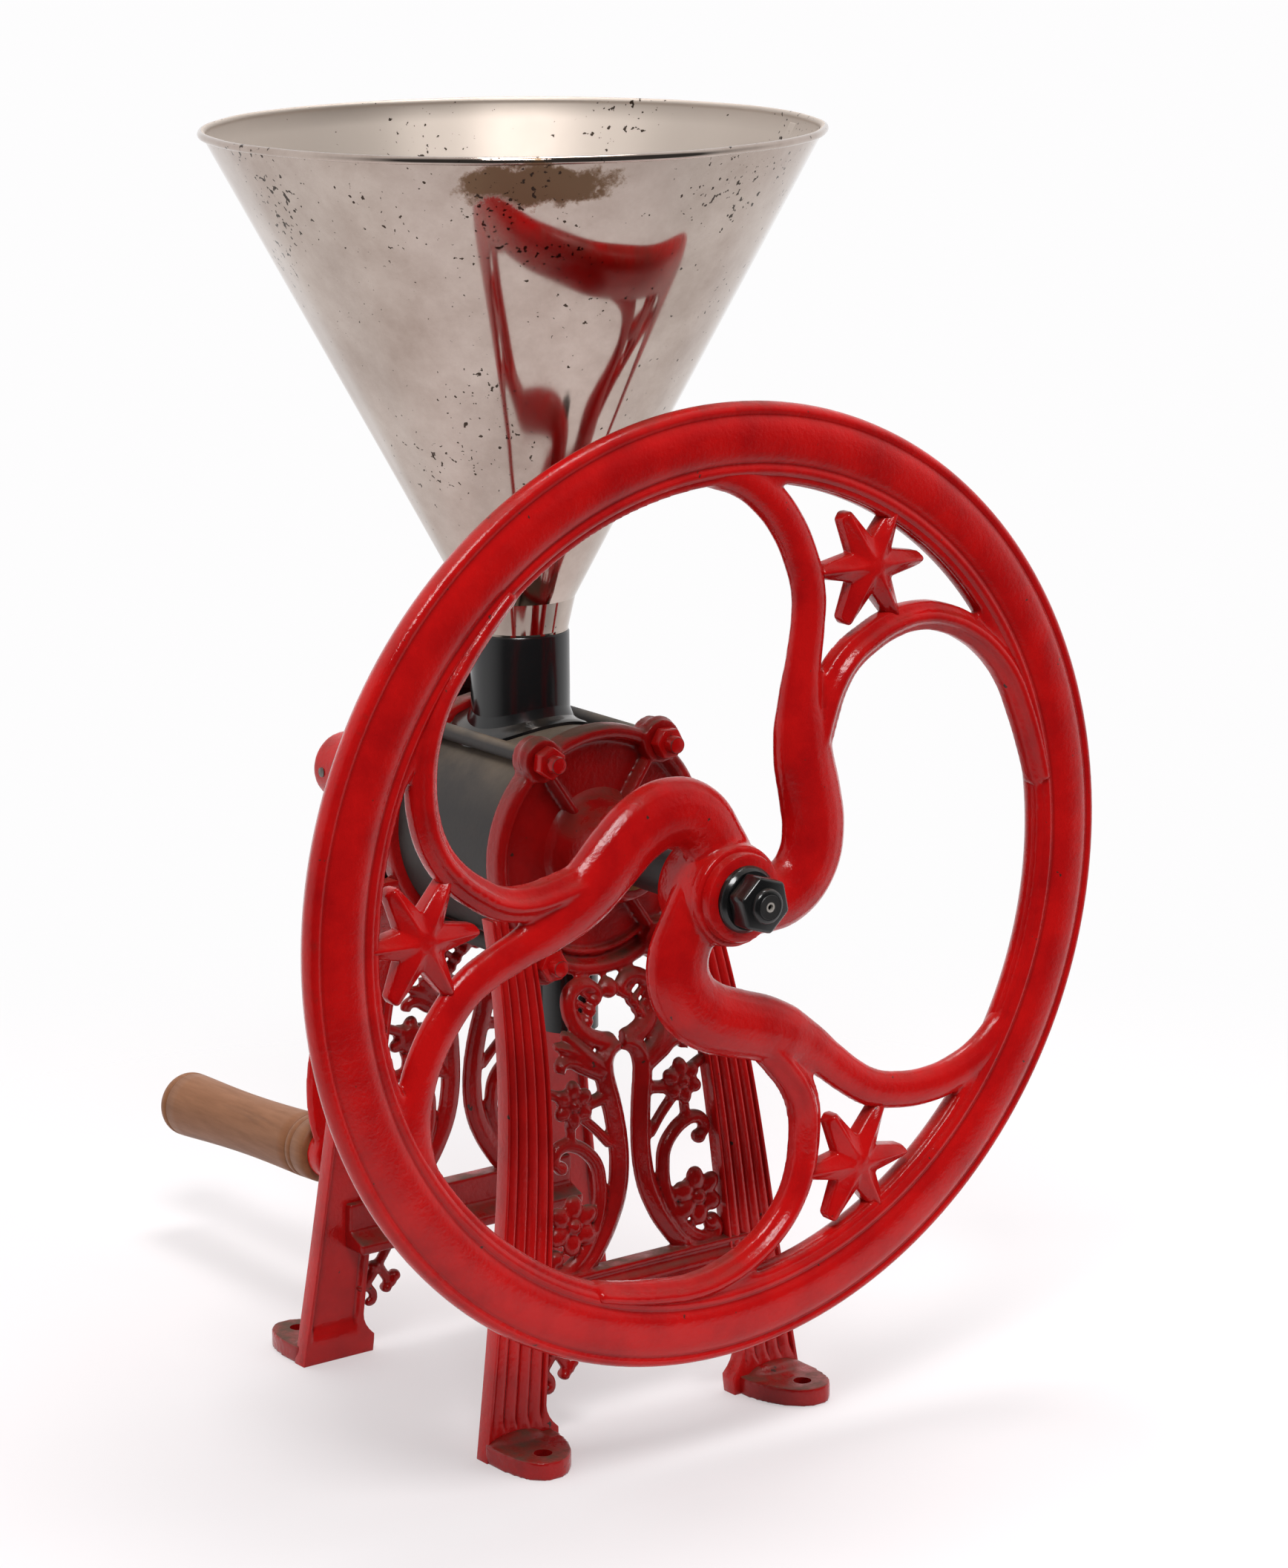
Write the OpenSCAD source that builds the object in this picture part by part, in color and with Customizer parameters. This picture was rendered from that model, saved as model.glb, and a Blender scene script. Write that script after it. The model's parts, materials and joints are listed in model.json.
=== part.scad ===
/* [Stand] */
// Height of the shaft axis above the floor
axis_h = 281.5; // [265:0.5:310]
// Spacing of the foot bolts from left to right
foot_pitch_x = 158; // [146:1:176]
// Spacing of the foot bolts from front to back
foot_pitch_y = 217.2; // [205:0.2:235]
// Radius of a foot bolt hole
foot_hole_r = 4.5; // [3:0.25:6]
// Radius of a foot's round end
foot_r = 13; // [11:0.5:16]
// Thickness of a foot
foot_t = 9; // [6:0.5:12]
// Distance from a leg's face to its foot bolt
foot_reach = 22.5; // [20:0.5:30]
// Thickness of a leg from front to back
leg_t = 9; // [7:0.5:12]
// Width of a leg at the floor
leg_w_low = 34; // [28:0.5:38]
// Width of a leg at its top
leg_w_top = 21; // [16:0.5:26]
// Distance of a leg's centre from the middle at its top
leg_top_x = 54; // [50:0.5:58]
// How far a leg curves in from a straight line halfway up
leg_bow = 2.4; // [0:0.1:4]
// Height at which a leg starts to bend towards its end plate
leg_bend_h = 95; // [85:1:110]
// How far a leg leans in over its whole height, besides its bend
leg_lean = 12.5; // [8:0.5:16]
// How sharply a leg's bend tightens towards its top
leg_curl = 2.6; // [2:0.1:3]
// Set-back of a leg's top behind its end plate's face
leg_top_set = 2.5; // [1:0.25:2.75]
// How far a leg reaches up past the foot of the bearing boss
leg_top_lap = 10; // [6:0.5:16]
// Reach of the spur at the inner side of a leg's foot
spur_w = 8; // [4:0.5:10]
// Height of the top of the crossbar
bar_top = 82; // [70:1:95]
// Height of the crossbar from edge to edge
bar_h = 18; // [12:0.5:26]
// Thickness of the crossbar
bar_t = 10; // [8:0.5:14]
// Thickness of the scrollwork
scroll_t = 7; // [5:0.5:8]
// Set-back of the scrollwork behind a leg's face
scroll_in = 2.6; // [1:0.2:3.5]
// Width of a main strand of the scrollwork
scroll_w = 10; // [8:0.5:12]
// Radius of the flower between a leg's bend and the scrollwork
rosette_r = 11; // [10:0.5:12]
// Radius of the flower above the crossbar
flower_r = 14.5; // [14:0.5:16]

/* [End plates] */
// Radius of an end plate
plate_r = 62; // [60:0.5:66]
// Thickness of an end plate at its raised rim
plate_t = 12; // [10:0.5:16]
// Width of an end plate's raised rim
plate_rim_w = 8; // [5:0.5:12]
// Depth of an end plate's dished face
plate_dish = 3; // [1:0.25:5]
// Radius of the bearing boss where it leaves the plate
boss_base_r = 35; // [30:0.5:40]
// Radius of the front bearing boss at its end
boss_end_r = 18.5; // [17.5:0.25:22]
// Reach of the front bearing boss in front of its plate
boss_reach = 24.5; // [18:0.5:30]
// Radius of a tie rod lug
lug_r = 11; // [9.5:0.5:13]
// Height of a tie rod lug above the plate's rim
lug_rise = 1; // [0.5:0.25:3]
// Thickness of a rib on an end plate
rib_t = 6; // [3:0.5:9]

/* [Tie rods] */
// Distance of a tie rod from the middle, sideways
tie_x = 35; // [34:0.5:42]
// Distance of a tie rod from the axis, up or down
tie_z = 50; // [50:0.5:56]
// Radius of a tie rod
tie_r = 4; // [3:0.25:5]
// Distance across the flats of a tie rod nut
tie_nut_af = 14; // [12:0.5:17]
// Thickness of a tie rod nut
tie_nut_t = 7; // [5:0.5:9]
// Length of tie rod past its nut
tie_end = 5; // [2:0.5:8]

/* [Drum] */
// Length of the drum between the end plates
drum_len = 83; // [78:1:96]
// Outer radius of the drum
drum_r = 56; // [53:0.25:56.5]
// Wall of the drum
drum_wall = 6; // [4:0.5:8]
// Place of the neck behind the middle of the drum
neck_y = 15.5; // [12:0.5:16]
// Outer radius of the neck
neck_r = 24.4; // [23:0.1:25.5]
// Wall of the neck
neck_wall = 3.4; // [2.5:0.1:4.5]
// Height of the top of the neck above the axis
neck_rise = 98.9; // [80:0.1:120]
// Radius of the bead round the foot of the neck
neck_bead = 2; // [1:0.25:3]
// Place of the spout in front of the middle of the drum
spout_y = 22; // [20:0.5:24]
// Outer radius of the spout
spout_r = 15; // [13:0.5:16]
// Wall of the spout
spout_wall = 2.5; // [1.5:0.25:4]
// Depth of the spout's mouth below the axis
spout_drop = 94.5; // [75:0.5:110]

/* [Shaft and burrs] */
// Radius of the shaft in its bushes
shaft_r = 11; // [10:0.25:11.5]
// Radius of the shaft's seats for flywheel and crank
seat_r = 9.5; // [8.5:0.25:9.75]
// Radius of the shaft's threaded end
thread_r = 6.75; // [5:0.25:7.5]
// Outer radius of a bush
bush_r = 14; // [13.25:0.25:15]
// Length of a bush
bush_len = 33; // [24:1:34]
// Distance of the fixed burr's face in front of the middle
burr_face = 14; // [12:0.5:16]
// Thickness of the fixed burr
burr_t = 10; // [7:0.5:11]
// Radius of the eye of the fixed burr
burr_eye_r = 26; // [25:0.5:30]
// Gap between the burrs
burr_gap = 0.6; // [0.4:0.1:1.2]
// Radius of the turning burr
burr_r = 44; // [38:0.5:46]
// Thickness of the turning burr
burr_disc_t = 11; // [8:0.5:12]
// Radius of the turning burr's hub
burr_hub_r = 18; // [17:0.5:22]
// Number of grooves in a burr
burr_grooves = 18; // [8:2:24]
// Depth of a groove in a burr
groove_d = 2; // [1:0.25:3]
// Radius of a burr dowel
dowel_r = 2; // [1.5:0.25:2.5]
// Width of the ledge that the fixed burr sits on
ledge_w = 7; // [6:0.5:8]
// Thickness of the ledge that the fixed burr sits on
ledge_t = 4; // [3:0.5:6]
// Outer radius of the feed auger
auger_r = 24; // [20:0.5:24.5]
// Outer radius of the feed auger's sleeve
auger_sleeve_r = 15; // [14:0.5:17]
// Number of turns of the feed auger
auger_turns = 1.5; // [1:0.25:2]
// Length of the feed auger
auger_len = 52; // [44:1:54]
// Radius of a cross pin
cross_pin_r = 2.5; // [1.5:0.25:3]
// Thickness of the thrust washer
thrust_t = 3.2; // [2:0.1:5]

/* [Adjuster] */
// Radius of the grind adjusting wheel
adjust_r = 66; // [50:0.5:68]
// Thickness of the adjusting wheel's rim
adjust_t = 14; // [10:0.5:16]
// Thickness of the adjusting wheel's web
adjust_web = 6; // [4:0.5:8]
// Width of the adjusting wheel's rim
adjust_rim_w = 8; // [6:0.5:12]
// Radius of the adjusting wheel's hub
adjust_hub_r = 30; // [26:0.5:36]
// Radius of the rear boss that the adjusting wheel turns on
adjust_boss_r = 20; // [19:0.25:22]
// Length of the adjusting wheel's hub
adjust_len = 20; // [18:0.5:24]
// Distance of the adjusting wheel behind the rear plate
adjust_off = 22.5; // [20:0.5:28]
// Number of grip notches round the adjusting wheel
adjust_notches = 24; // [12:1:36]
// Radius of the collar on the shaft
collar_r = 20; // [17:0.5:24]
// Thickness of the collar on the shaft
collar_t = 13; // [10:0.5:18]
// Radius of the collar's set screw
set_screw_r = 3; // [2:0.25:4]

/* [Flywheel] */
// Outer radius of the flywheel
wheel_r = 230; // [215:0.5:245]
// Width of the flywheel's rim
rim_w = 38; // [32:0.5:44]
// Thickness of the flywheel's rim
rim_t = 16; // [14:0.5:22]
// Distance of the middle of the rim in front of the origin
wheel_y = 145.5; // [145:0.5:160]
// Depth of the bead grooves on the rim
rim_groove = 2; // [1:0.25:3]
// Radius of the flywheel's hub
hub_r = 25; // [22:0.5:28]
// Reach of the hub in front of the middle of the rim
hub_front = 19.5; // [16:0.5:24]
// Reach of the hub behind the middle of the rim
hub_back = 17.5; // [15:0.5:22]
// Width of a spoke's stem
stem_w = 34; // [28:0.5:36]
// Thickness of a spoke's stem
stem_t = 22; // [18:0.5:26]
// Width of the branch that runs up to the rim
branch_w = 19; // [14:0.5:22]
// Width of the branch that arches over to the rim
arch_w = 15; // [11:0.5:18]
// Thickness of the branches
branch_t = 14; // [12:0.5:15.5]
// Number of spokes
spokes = 3; // [3:1:3]
// Radius of a star's tips
star_r = 31; // [30:0.5:33]
// Radius of a star's notches
star_in_r = 13; // [10:0.5:16]
// Thickness of a star
star_t = 10; // [7:0.5:14]
// Width and height of the flywheel key
key_w = 5; // [3:0.25:6]
// Length of the flywheel key
key_len = 26; // [18:1:30]
// Radius of the washer under the flywheel nut
washer_r = 16; // [14.5:0.25:19]
// Thickness of the washer under the flywheel nut
washer_t = 4; // [2:0.25:6]
// Distance across the flats of the flywheel nut
nut_af = 25; // [22:0.5:27]
// Thickness of the flywheel nut
nut_t = 12; // [9:0.5:16]
// Length of shaft past the flywheel nut
thread_end = 3; // [1:0.5:6]

/* [Crank] */
// Distance from the shaft axis to the grip's pin
crank_r = 202; // [190:0.5:215]
// Lean of the crank from straight down
crank_lean = 7.7; // [0:0.1:12]
// Distance of the crank hub's inner face behind the origin
crank_y = 142; // [140:0.5:160]
// Length of the crank hub
crank_hub_len = 38; // [30:0.5:46]
// Radius of the crank hub
crank_hub_r = 18; // [16:0.5:22]
// Width of the arm at the hub
arm_w_hub = 28; // [22:0.5:32]
// Width of the arm at the pin
arm_w_pin = 19; // [16:0.5:24]
// Thickness of the arm
arm_t = 10; // [9:0.5:13]
// Distance of the arm from the hub's inner face
arm_in = 5; // [3:0.5:12]
// Radius of the boss that holds the grip's pin
eye_r = 14; // [11:0.5:17]
// Rise of that boss over the arm
eye_rise = 1.5; // [1:0.5:6]
// Radius of the grip's pin
pin_r = 5; // [4:0.25:6]
// Droop of the grip's outer end below the line of the shaft, in degrees
grip_tilt = 3.7; // [0:0.1:6]
// Length of the grip
grip_len = 146; // [130:1:160]
// Radius of the grip at its outer end
grip_r = 17.5; // [16:0.1:19]
// Radius of the grip at its inner end
grip_neck_r = 17; // [15:0.1:18.5]
// How much thinner the grip is at its waist
grip_waist = 1.4; // [0.3:0.1:2.5]
// Width of the plain band at each end of the grip
grip_band = 10.5; // [8:0.5:14]
// Depth of the turned grooves in the grip
grip_cut = 1; // [0.5:0.1:1.5]
// Rounding of the grip's outer end
grip_dome = 6; // [3:0.25:7]
// Radius of the pin's head
pin_head_r = 8; // [6.5:0.25:10]
// Thickness of the pin's head
pin_head_t = 3; // [2:0.25:5]

/* [Funnel] */
// Outer radius of the funnel's rim
funnel_r = 151; // [120:0.5:165]
// Height of the funnel's cone
funnel_h = 228.6; // [180:0.1:260]
// Outer radius of the funnel's lower seam
seam_r = 27.5; // [26:0.1:30]
// Wall of the funnel
funnel_wall = 1.2; // [0.8:0.1:2]
// Radius of the rolled bead round the rim
bead_r = 3; // [2.5:0.1:4]
// Radius of the wire inside the bead
wire_r = 1.5; // [1:0.1:1.6]
// Height of the tapered collar over the neck
taper_h = 16.4; // [12:0.1:22]
// Depth of the collar's spigot inside the neck
spigot_h = 28; // [20:0.5:36]

/* [Fits] */
// Running clearance round the shaft, pins and spigot
run_gap = 0.05; // [0.02:0.01:0.09]
// Clearance round pieces that are fixed
fix_gap = 0.03; // [0.01:0.01:0.05]
// Gap between faces that turn or lift past each other
face_gap = 0.3; // [0.2:0.05:0.6]

/* [Hidden] */
$fn = 48;

red = [0.69, 0.08, 0.08];
black = [0.10, 0.10, 0.10];
dull = [0.24, 0.23, 0.23];
steel = [0.55, 0.55, 0.56];
bronze = [0.66, 0.48, 0.26];
tin = [0.78, 0.75, 0.70];
wood = [0.65, 0.49, 0.35];

foot_x = foot_pitch_x / 2;
foot_y = foot_pitch_y / 2;
drum_end = drum_len / 2;
plate_face = drum_end + plate_t;
leg_face_low = foot_y - foot_reach;
leg_bend = leg_face_low - leg_lean - plate_face + leg_top_set;
leg_top_h = axis_h - boss_base_r + leg_top_lap;
bay_top = axis_h - plate_r;
bay_h = bay_top - bar_top;
bay_w = (foot_x + leg_top_x - leg_w_low) / 2;
boss_end = plate_face + boss_reach;
nut_seat = plate_face + lug_rise;
tie_tip = nut_seat + tie_nut_t + tie_end;
drum_in_r = drum_r - drum_wall;
drum_wrap_r = drum_r + fix_gap;
neck_in_r = neck_r - neck_wall;
spout_in_r = spout_r - spout_wall;
shaft_bore_r = shaft_r + run_gap;
bush_seat_r = bush_r + fix_gap;
plate_clear_r = shaft_r + 0.6;
turn_face = burr_face + burr_gap;
thrust_face = drum_end - face_gap - thrust_t;
ledge_y = -burr_face + burr_t;
dowel_pitch_r = drum_in_r - ledge_w / 2;
adjust_y = plate_face + adjust_off;
adjust_boss_end = adjust_y + adjust_len;
collar_y = adjust_boss_end + face_gap;
rim_in_r = wheel_r - rim_w;
hub_face = wheel_y + hub_front;
hub_rear = wheel_y - hub_back;
nut_y = hub_face + washer_t;
shaft_tip = nut_y + nut_t + thread_end;
crank_end = crank_y + crank_hub_len;
arm_y = crank_y + arm_in;
eye_face = arm_y + arm_t + eye_rise;
grip_y = eye_face + face_gap;
grip_end = grip_y + grip_len;
head_y = grip_end + face_gap;
grip_x = -crank_r * sin(crank_lean);
grip_z = axis_h - crank_r * cos(crank_lean);
neck_top = axis_h + neck_rise;
collar_base = neck_top + face_gap;
seam_z = collar_base + taper_h;
rim_z = seam_z + funnel_h;
spigot_r = neck_in_r - run_gap;

// Strands of the scrollwork, as shares of the bay between legs, crossbar and end plate, each
// with its width at both ends as shares of a main strand's width
strand_main = [[0.04, 0.80], [0.125, 0.785], [0.195, 0.752], [0.226, 0.706], [0.22, 0.655], [0.19, 0.596],
  [0.16, 0.524], [0.14, 0.43], [0.144, 0.35], [0.19, 0.255], [0.28, 0.171], [0.406, 0.093],
  [0.57, 0.018], [0.72, -0.022]];
strand_inner = [[0.90, 0.433], [0.796, 0.458], [0.664, 0.451], [0.522, 0.418], [0.412, 0.366], [0.384, 0.305],
  [0.384, 0.252], [0.42, 0.192], [0.49, 0.129], [0.606, 0.068], [0.74, 0.019], [0.908, -0.004]];
leaf_high = [[0.28, 0.698], [0.416, 0.745], [0.52, 0.80], [0.60, 0.836]];
leaf_mid = [[0.32, 0.698], [0.52, 0.756], [0.71, 0.80]];
leaf_low = [[0.32, 0.69], [0.54, 0.727], [0.68, 0.745], [0.76, 0.727]];
rosette_ties = [[[0.20, 0.604], [0.36, 0.593], [0.54, 0.575]],
  [[0.56, 0.545], [0.392, 0.492], [0.22, 0.429]],
  [[0.76, 0.629], [0.90, 0.651], [1.06, 0.669]], [[0.70, 0.538], [0.688, 0.495], [0.70, 0.458]]];
scroll_strands = concat(
  [[strand_main, 0.85, 1], [strand_inner, 0.65, 0.65], [leaf_high, 0.9, 0.4], [leaf_mid, 0.7, 0.3],
    [leaf_low, 0.7, 0.3]],
  [for (tie = rosette_ties) [tie, 0.55, 0.55]]
);
volute = [[0.08, 0.807], [0.23, 0.815], [0.376, 0.84], [0.476, 0.88], [0.512, 0.924], [0.49, 0.96],
  [0.42, 0.993], [0.34, 1.025]];
shell_at = [0.26, 0.942];
crown_at = [0, 0.938];
hook_at = [0.87, 0.411];
curl_at = [0.97, 0.033];
rosette_at = [0.656, 0.60];
flower_at = [0.754, 0.172];

// Strands of a bracket: across from the leg in strand widths, and up as shares of the crossbar's height
bracket_strands = [[[-2.1, 1.03], [-1.3, 0.81], [-0.8, 0.67], [-0.3, 0.56], [0.3, 0.48]],
  [[-1.1, 0.75], [-1.7, 0.66], [-2.0, 0.56], [-1.7, 0.49]],
  [[-0.3, 0.58], [-0.63, 0.47], [-0.4, 0.38], [0.25, 0.36]]];

// Centre lines of a spoke, as shares of the rim's inner radius
stem = [[0.271, 0.02], [0.286, 0.115], [0.279, 0.2], [0.258, 0.30], [0.25, 0.39]];
branch = [[0.25, 0.36], [0.245, 0.47], [0.266, 0.54], [0.273, 0.71], [0.248, 0.80],
  [0.20, 0.89], [0.13, 0.97], [0.05, 1.03]];
arch = [[0.29, 0.34], [0.315, 0.41], [0.345, 0.48], [0.40, 0.53], [0.46, 0.57], [0.53, 0.597],
  [0.615, 0.607], [0.70, 0.59], [0.78, 0.55], [0.855, 0.495], [0.917, 0.417], [0.965, 0.31], [1.02, 0.19]];
star_at = [0.46, 0.753];
elbow_at = [0.23, 0.01];
elbow_r = 26.5;

// Centre line of the crank arm, along and across the line from shaft to pin, as shares of its length
crank_line = [[0, 0], [0.16, 0.06], [0.34, 0.07], [0.52, 0.00], [0.70, -0.05], [0.86, -0.05], [1, 0]];

function mix(a, b, t) = a + (b - a) * t;
function ease(t) = (1 - cos(180 * min(max(t, 0), 1))) / 2;

// Points of a smooth curve through the given points
function curve(p, n) = [
  for (i = [0 : len(p) - 2], j = [0 : n - 1])
    let (
      t = j / n,
      a = p[max(i - 1, 0)],
      b = p[i],
      c = p[i + 1],
      d = p[min(i + 2, len(p) - 1)]
    )
    (2 * b + (c - a) * t + (2 * a - 5 * b + 4 * c - d) * t * t + (3 * b - a - 3 * c + d) * t * t * t) / 2,
  p[len(p) - 1]
];

function across(p, i) =
  let (d = p[min(i + 1, len(p) - 1)] - p[max(i - 1, 0)])
  [-d[1], d[0]] / norm(d);

// Outline of a ribbon whose width runs from w0 to w1 along a curve
function ribbon(p, w0, w1) =
  let (n = len(p) - 1)
  concat(
    [for (i = [0 : n]) p[i] + across(p, i) * mix(w0, w1, i / n) / 2],
    [for (i = [n : -1 : 0]) p[i] - across(p, i) * mix(w0, w1, i / n) / 2]
  );

function leg_rise(z) = min(max(z - leg_bend_h, 0) / (leg_top_h - leg_bend_h), 1);

// Distance of a leg's face from the middle at a height
function leg_face(z) = leg_face_low - leg_lean * z / leg_top_h - leg_bend * pow(leg_rise(z), leg_curl);

function leg_x(z) = mix(foot_x, leg_top_x, z / leg_top_h) - leg_bow * sin(180 * z / leg_top_h);

function leg_half(z) = mix(leg_w_low, leg_w_top, z / leg_top_h) / 2;

function in_bay(p) = [p[0] * bay_w, bar_top + p[1] * bay_h];

module strand(p, w0, w1, n = 4) {
  polygon(ribbon(curve(p, n), w0, w1));
}

// Draws in the XZ plane and thickens from y0 to y1
module along_y(y0, y1) {
  translate([0, y1, 0])
    rotate([90, 0, 0])
      linear_extrude(y1 - y0)
        children();
}

// Turns a profile of radius and y about the shaft axis
module turned(x = 0, z = axis_h) {
  translate([x, 0, z])
    rotate([-90, 0, 0])
      rotate_extrude()
        children();
}

module rod_y(r, y0, y1, x = 0, z = axis_h) {
  translate([x, y0, z])
    rotate([-90, 0, 0])
      cylinder(r = r, h = y1 - y0);
}

module rod_x(r, x0, x1, y, z) {
  translate([x0, y, z])
    rotate([0, 90, 0])
      cylinder(r = r, h = x1 - x0);
}

module hex_y(af, y0, y1, x = 0, z = axis_h) {
  translate([x, y0, z])
    rotate([-90, 0, 0])
      cylinder(r = af / sqrt(3), h = y1 - y0, $fn = 6);
}

module both_sides() {
  children();
  mirror([1, 0, 0]) children();
}

module at_ties() {
  for (sx = [-1, 1], sz = [-1, 1])
    translate([sx * tie_x, 0, sz * tie_z])
      children();
}

// The leaning sheet of space, t thick and set back by s, that the legs and scrollwork lie in
module leg_sheet(t, s) {
  heights = concat([0], [for (k = [0 : 8]) mix(leg_bend_h, leg_top_h, k / 8)], [axis_h]);
  half = foot_x + leg_w_low;
  translate([-half, 0, 0])
    rotate([90, 0, 90])
      linear_extrude(2 * half)
        polygon(concat(
          [for (z = heights) [-leg_face(z) + s, z]],
          [for (i = [len(heights) - 1 : -1 : 0]) [-leg_face(heights[i]) + s + t, heights[i]]]
        ));
}

module leg_outline() {
  heights = [for (k = [0 : 6]) leg_top_h * k / 6];
  polygon(concat(
    [for (z = heights) [leg_x(z) + leg_half(z), z]],
    [for (i = [len(heights) - 1 : -1 : 0]) [leg_x(heights[i]) - leg_half(heights[i]), heights[i]]]
  ));
}

// Spur that widens a leg's inner side at the floor
module spur_outline() {
  top = 2.4 * foot_t;
  inner = leg_x(0) - leg_half(0);
  edge = leg_x(top) - leg_half(top);
  polygon([
    [inner - spur_w, 0], [inner + spur_w, 0], [inner + spur_w, top], [edge, top],
    [edge - spur_w * 0.35, 1.4 * foot_t], [inner - spur_w, foot_t]
  ]);
}

// Small curled bracket under the crossbar beside the leg
module bracket_outline() {
  low = bar_top - bar_h;
  x0 = leg_x(low / 2) - leg_half(low / 2);
  for (p = bracket_strands)
    strand([for (q = p) [x0 + q[0] * scroll_w, q[1] * low]], scroll_w * 0.6, scroll_w * 0.5);
}

module flower_outline(r) {
  for (k = [0 : 5])
    rotate(60 * k)
      translate([r * 0.62, 0])
        circle(r * 0.38, $fn = 24);
  circle(r * 0.5, $fn = 24);
}

module scroll_outline() {
  for (s = scroll_strands)
    strand([for (p = s[0]) in_bay(p)], scroll_w * s[1], scroll_w * s[2]);
  translate(in_bay(hook_at)) circle(scroll_w * 0.42);
  translate(in_bay(curl_at)) circle(scroll_w * 0.6);
  translate(in_bay(rosette_at)) flower_outline(rosette_r);
  translate(in_bay(flower_at)) flower_outline(flower_r);
}

// Volutes with their shells, which carry the scrollwork up into the end plate
module volute_outline() {
  strand([for (p = volute) in_bay(p)], scroll_w * 0.65, scroll_w * 0.8);
  translate(in_bay(shell_at)) circle(scroll_w * 1.05);
  translate(in_bay(crown_at)) circle(scroll_w * 0.5);
}

module foot() {
  difference() {
    linear_extrude(foot_t)
      union() {
        translate([foot_x, -foot_y]) circle(foot_r);
        translate([foot_x - foot_r, -foot_y]) square([2 * foot_r, foot_reach + leg_t]);
      }
    translate([foot_x, -foot_y, -1]) cylinder(r = foot_hole_r, h = foot_t + 2);
  }
}

// Stand casting on the flywheel side, with the boss given by its turned profile
module stand_casting(boss_profile) {
  difference() {
    union() {
      turned()
        polygon(concat(
          [[plate_clear_r, -drum_end], [plate_r, -drum_end], [plate_r, -plate_face],
            [plate_r - plate_rim_w, -plate_face], [plate_r - plate_rim_w, -plate_face + plate_dish]],
          boss_profile
        ));
      translate([0, 0, axis_h])
        at_ties()
          rod_y(lug_r, -nut_seat, -drum_end, 0, 0);
      for (sx = [-1, 1], sz = [-1, 1])
        translate([0, 0, axis_h])
          rotate([0, -atan2(sz * tie_z, sx * tie_x), 0])
            translate([boss_end_r, -plate_face, -rib_t / 2])
              cube([norm([tie_x, tie_z]) - lug_r / 2 - boss_end_r, plate_t / 2, rib_t]);
      intersection() {
        leg_sheet(leg_t, 0);
        along_y(-foot_y, 0)
          both_sides() {
            leg_outline();
            spur_outline();
          }
      }
      intersection() {
        leg_sheet(scroll_t, scroll_in);
        along_y(-foot_y, 0) both_sides() scroll_outline();
      }
      intersection() {
        leg_sheet(scroll_t + plate_t / 2, scroll_in);
        along_y(-foot_y, 0) both_sides() volute_outline();
      }
      intersection() {
        leg_sheet(scroll_t, scroll_in);
        along_y(-foot_y, 0) both_sides() bracket_outline();
      }
      intersection() {
        leg_sheet(bar_t, -0.5);
        along_y(-foot_y, 0)
          translate([-foot_x, bar_top - bar_h]) square([2 * foot_x, bar_h]);
      }
      both_sides() foot();
    }
    translate([0, 0, axis_h])
      at_ties()
        rod_y(tie_r + fix_gap, -nut_seat - 1, -drum_end + 1, 0, 0);
  }
}

module front_frame() {
  color(red)
    difference() {
      stand_casting([
        [boss_base_r, -plate_face + plate_dish], [boss_end_r, -boss_end + 2],
        [boss_end_r - 1, -boss_end], [plate_clear_r, -boss_end]
      ]);
      rod_y(bush_seat_r, -boss_end - 1, -boss_end + bush_len);
    }
}

module rear_frame() {
  color(red)
    difference() {
      mirror([0, 1, 0])
        stand_casting([
          [boss_base_r, -plate_face + plate_dish], [adjust_boss_r + 4, -adjust_y + face_gap],
          [adjust_boss_r, -adjust_y + face_gap], [adjust_boss_r, -adjust_boss_end],
          [plate_clear_r, -adjust_boss_end]
        ]);
      rod_y(bush_seat_r, adjust_boss_end - bush_len, adjust_boss_end + 1);
    }
}

module tie_rods() {
  color(dull)
    translate([0, 0, axis_h])
      at_ties()
        rod_y(tie_r, -tie_tip, tie_tip, 0, 0);
}

module tie_nuts() {
  translate([0, 0, axis_h])
    at_ties()
      difference() {
        hex_y(tie_nut_af, -nut_seat - tie_nut_t, -nut_seat, 0, 0);
        rod_y(tie_r + fix_gap, -nut_seat - tie_nut_t - 1, -nut_seat + 1, 0, 0);
      }
}

module front_tie_nuts() {
  color(red) tie_nuts();
}

module rear_tie_nuts() {
  color(red) mirror([0, 1, 0]) tie_nuts();
}

module drum_shell() {
  color(dull)
    difference() {
      rod_y(drum_r, -drum_end, drum_end);
      rod_y(drum_in_r, -drum_end - 1, ledge_y);
      rod_y(drum_in_r, ledge_y + ledge_t, drum_end + 1);
      rod_y(drum_in_r - ledge_w, 0 - drum_end, drum_end);
      translate([0, neck_y, axis_h]) cylinder(r = neck_in_r, h = drum_r + 1);
      translate([0, -spout_y, axis_h - drum_r - 1]) cylinder(r = spout_in_r, h = drum_r);
      dowels(dowel_r + fix_gap, ledge_t + 1);
    }
}

module neck_tube() {
  color(black)
    difference() {
      union() {
        translate([0, neck_y, axis_h]) cylinder(r = neck_r, h = neck_rise);
        translate([0, neck_y, axis_h + drum_r - 6]) cylinder(r = neck_r + neck_bead - 1, h = 9);
      }
      translate([0, neck_y, axis_h - 1]) cylinder(r = neck_in_r, h = neck_rise + 2);
      rod_y(drum_wrap_r, -drum_end - 1, drum_end + 1);
    }
}

module outlet_spout() {
  color(black)
    difference() {
      translate([0, -spout_y, axis_h - spout_drop]) cylinder(r = spout_r, h = spout_drop);
      translate([0, -spout_y, axis_h - spout_drop - 1]) cylinder(r = spout_in_r, h = spout_drop + 2);
      rod_y(drum_wrap_r, -drum_end - 1, drum_end + 1);
    }
}

module bush(y0, y1) {
  color(bronze)
    difference() {
      rod_y(bush_r, y0, y1);
      rod_y(shaft_bore_r, y0 - 1, y1 + 1);
    }
}

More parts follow.
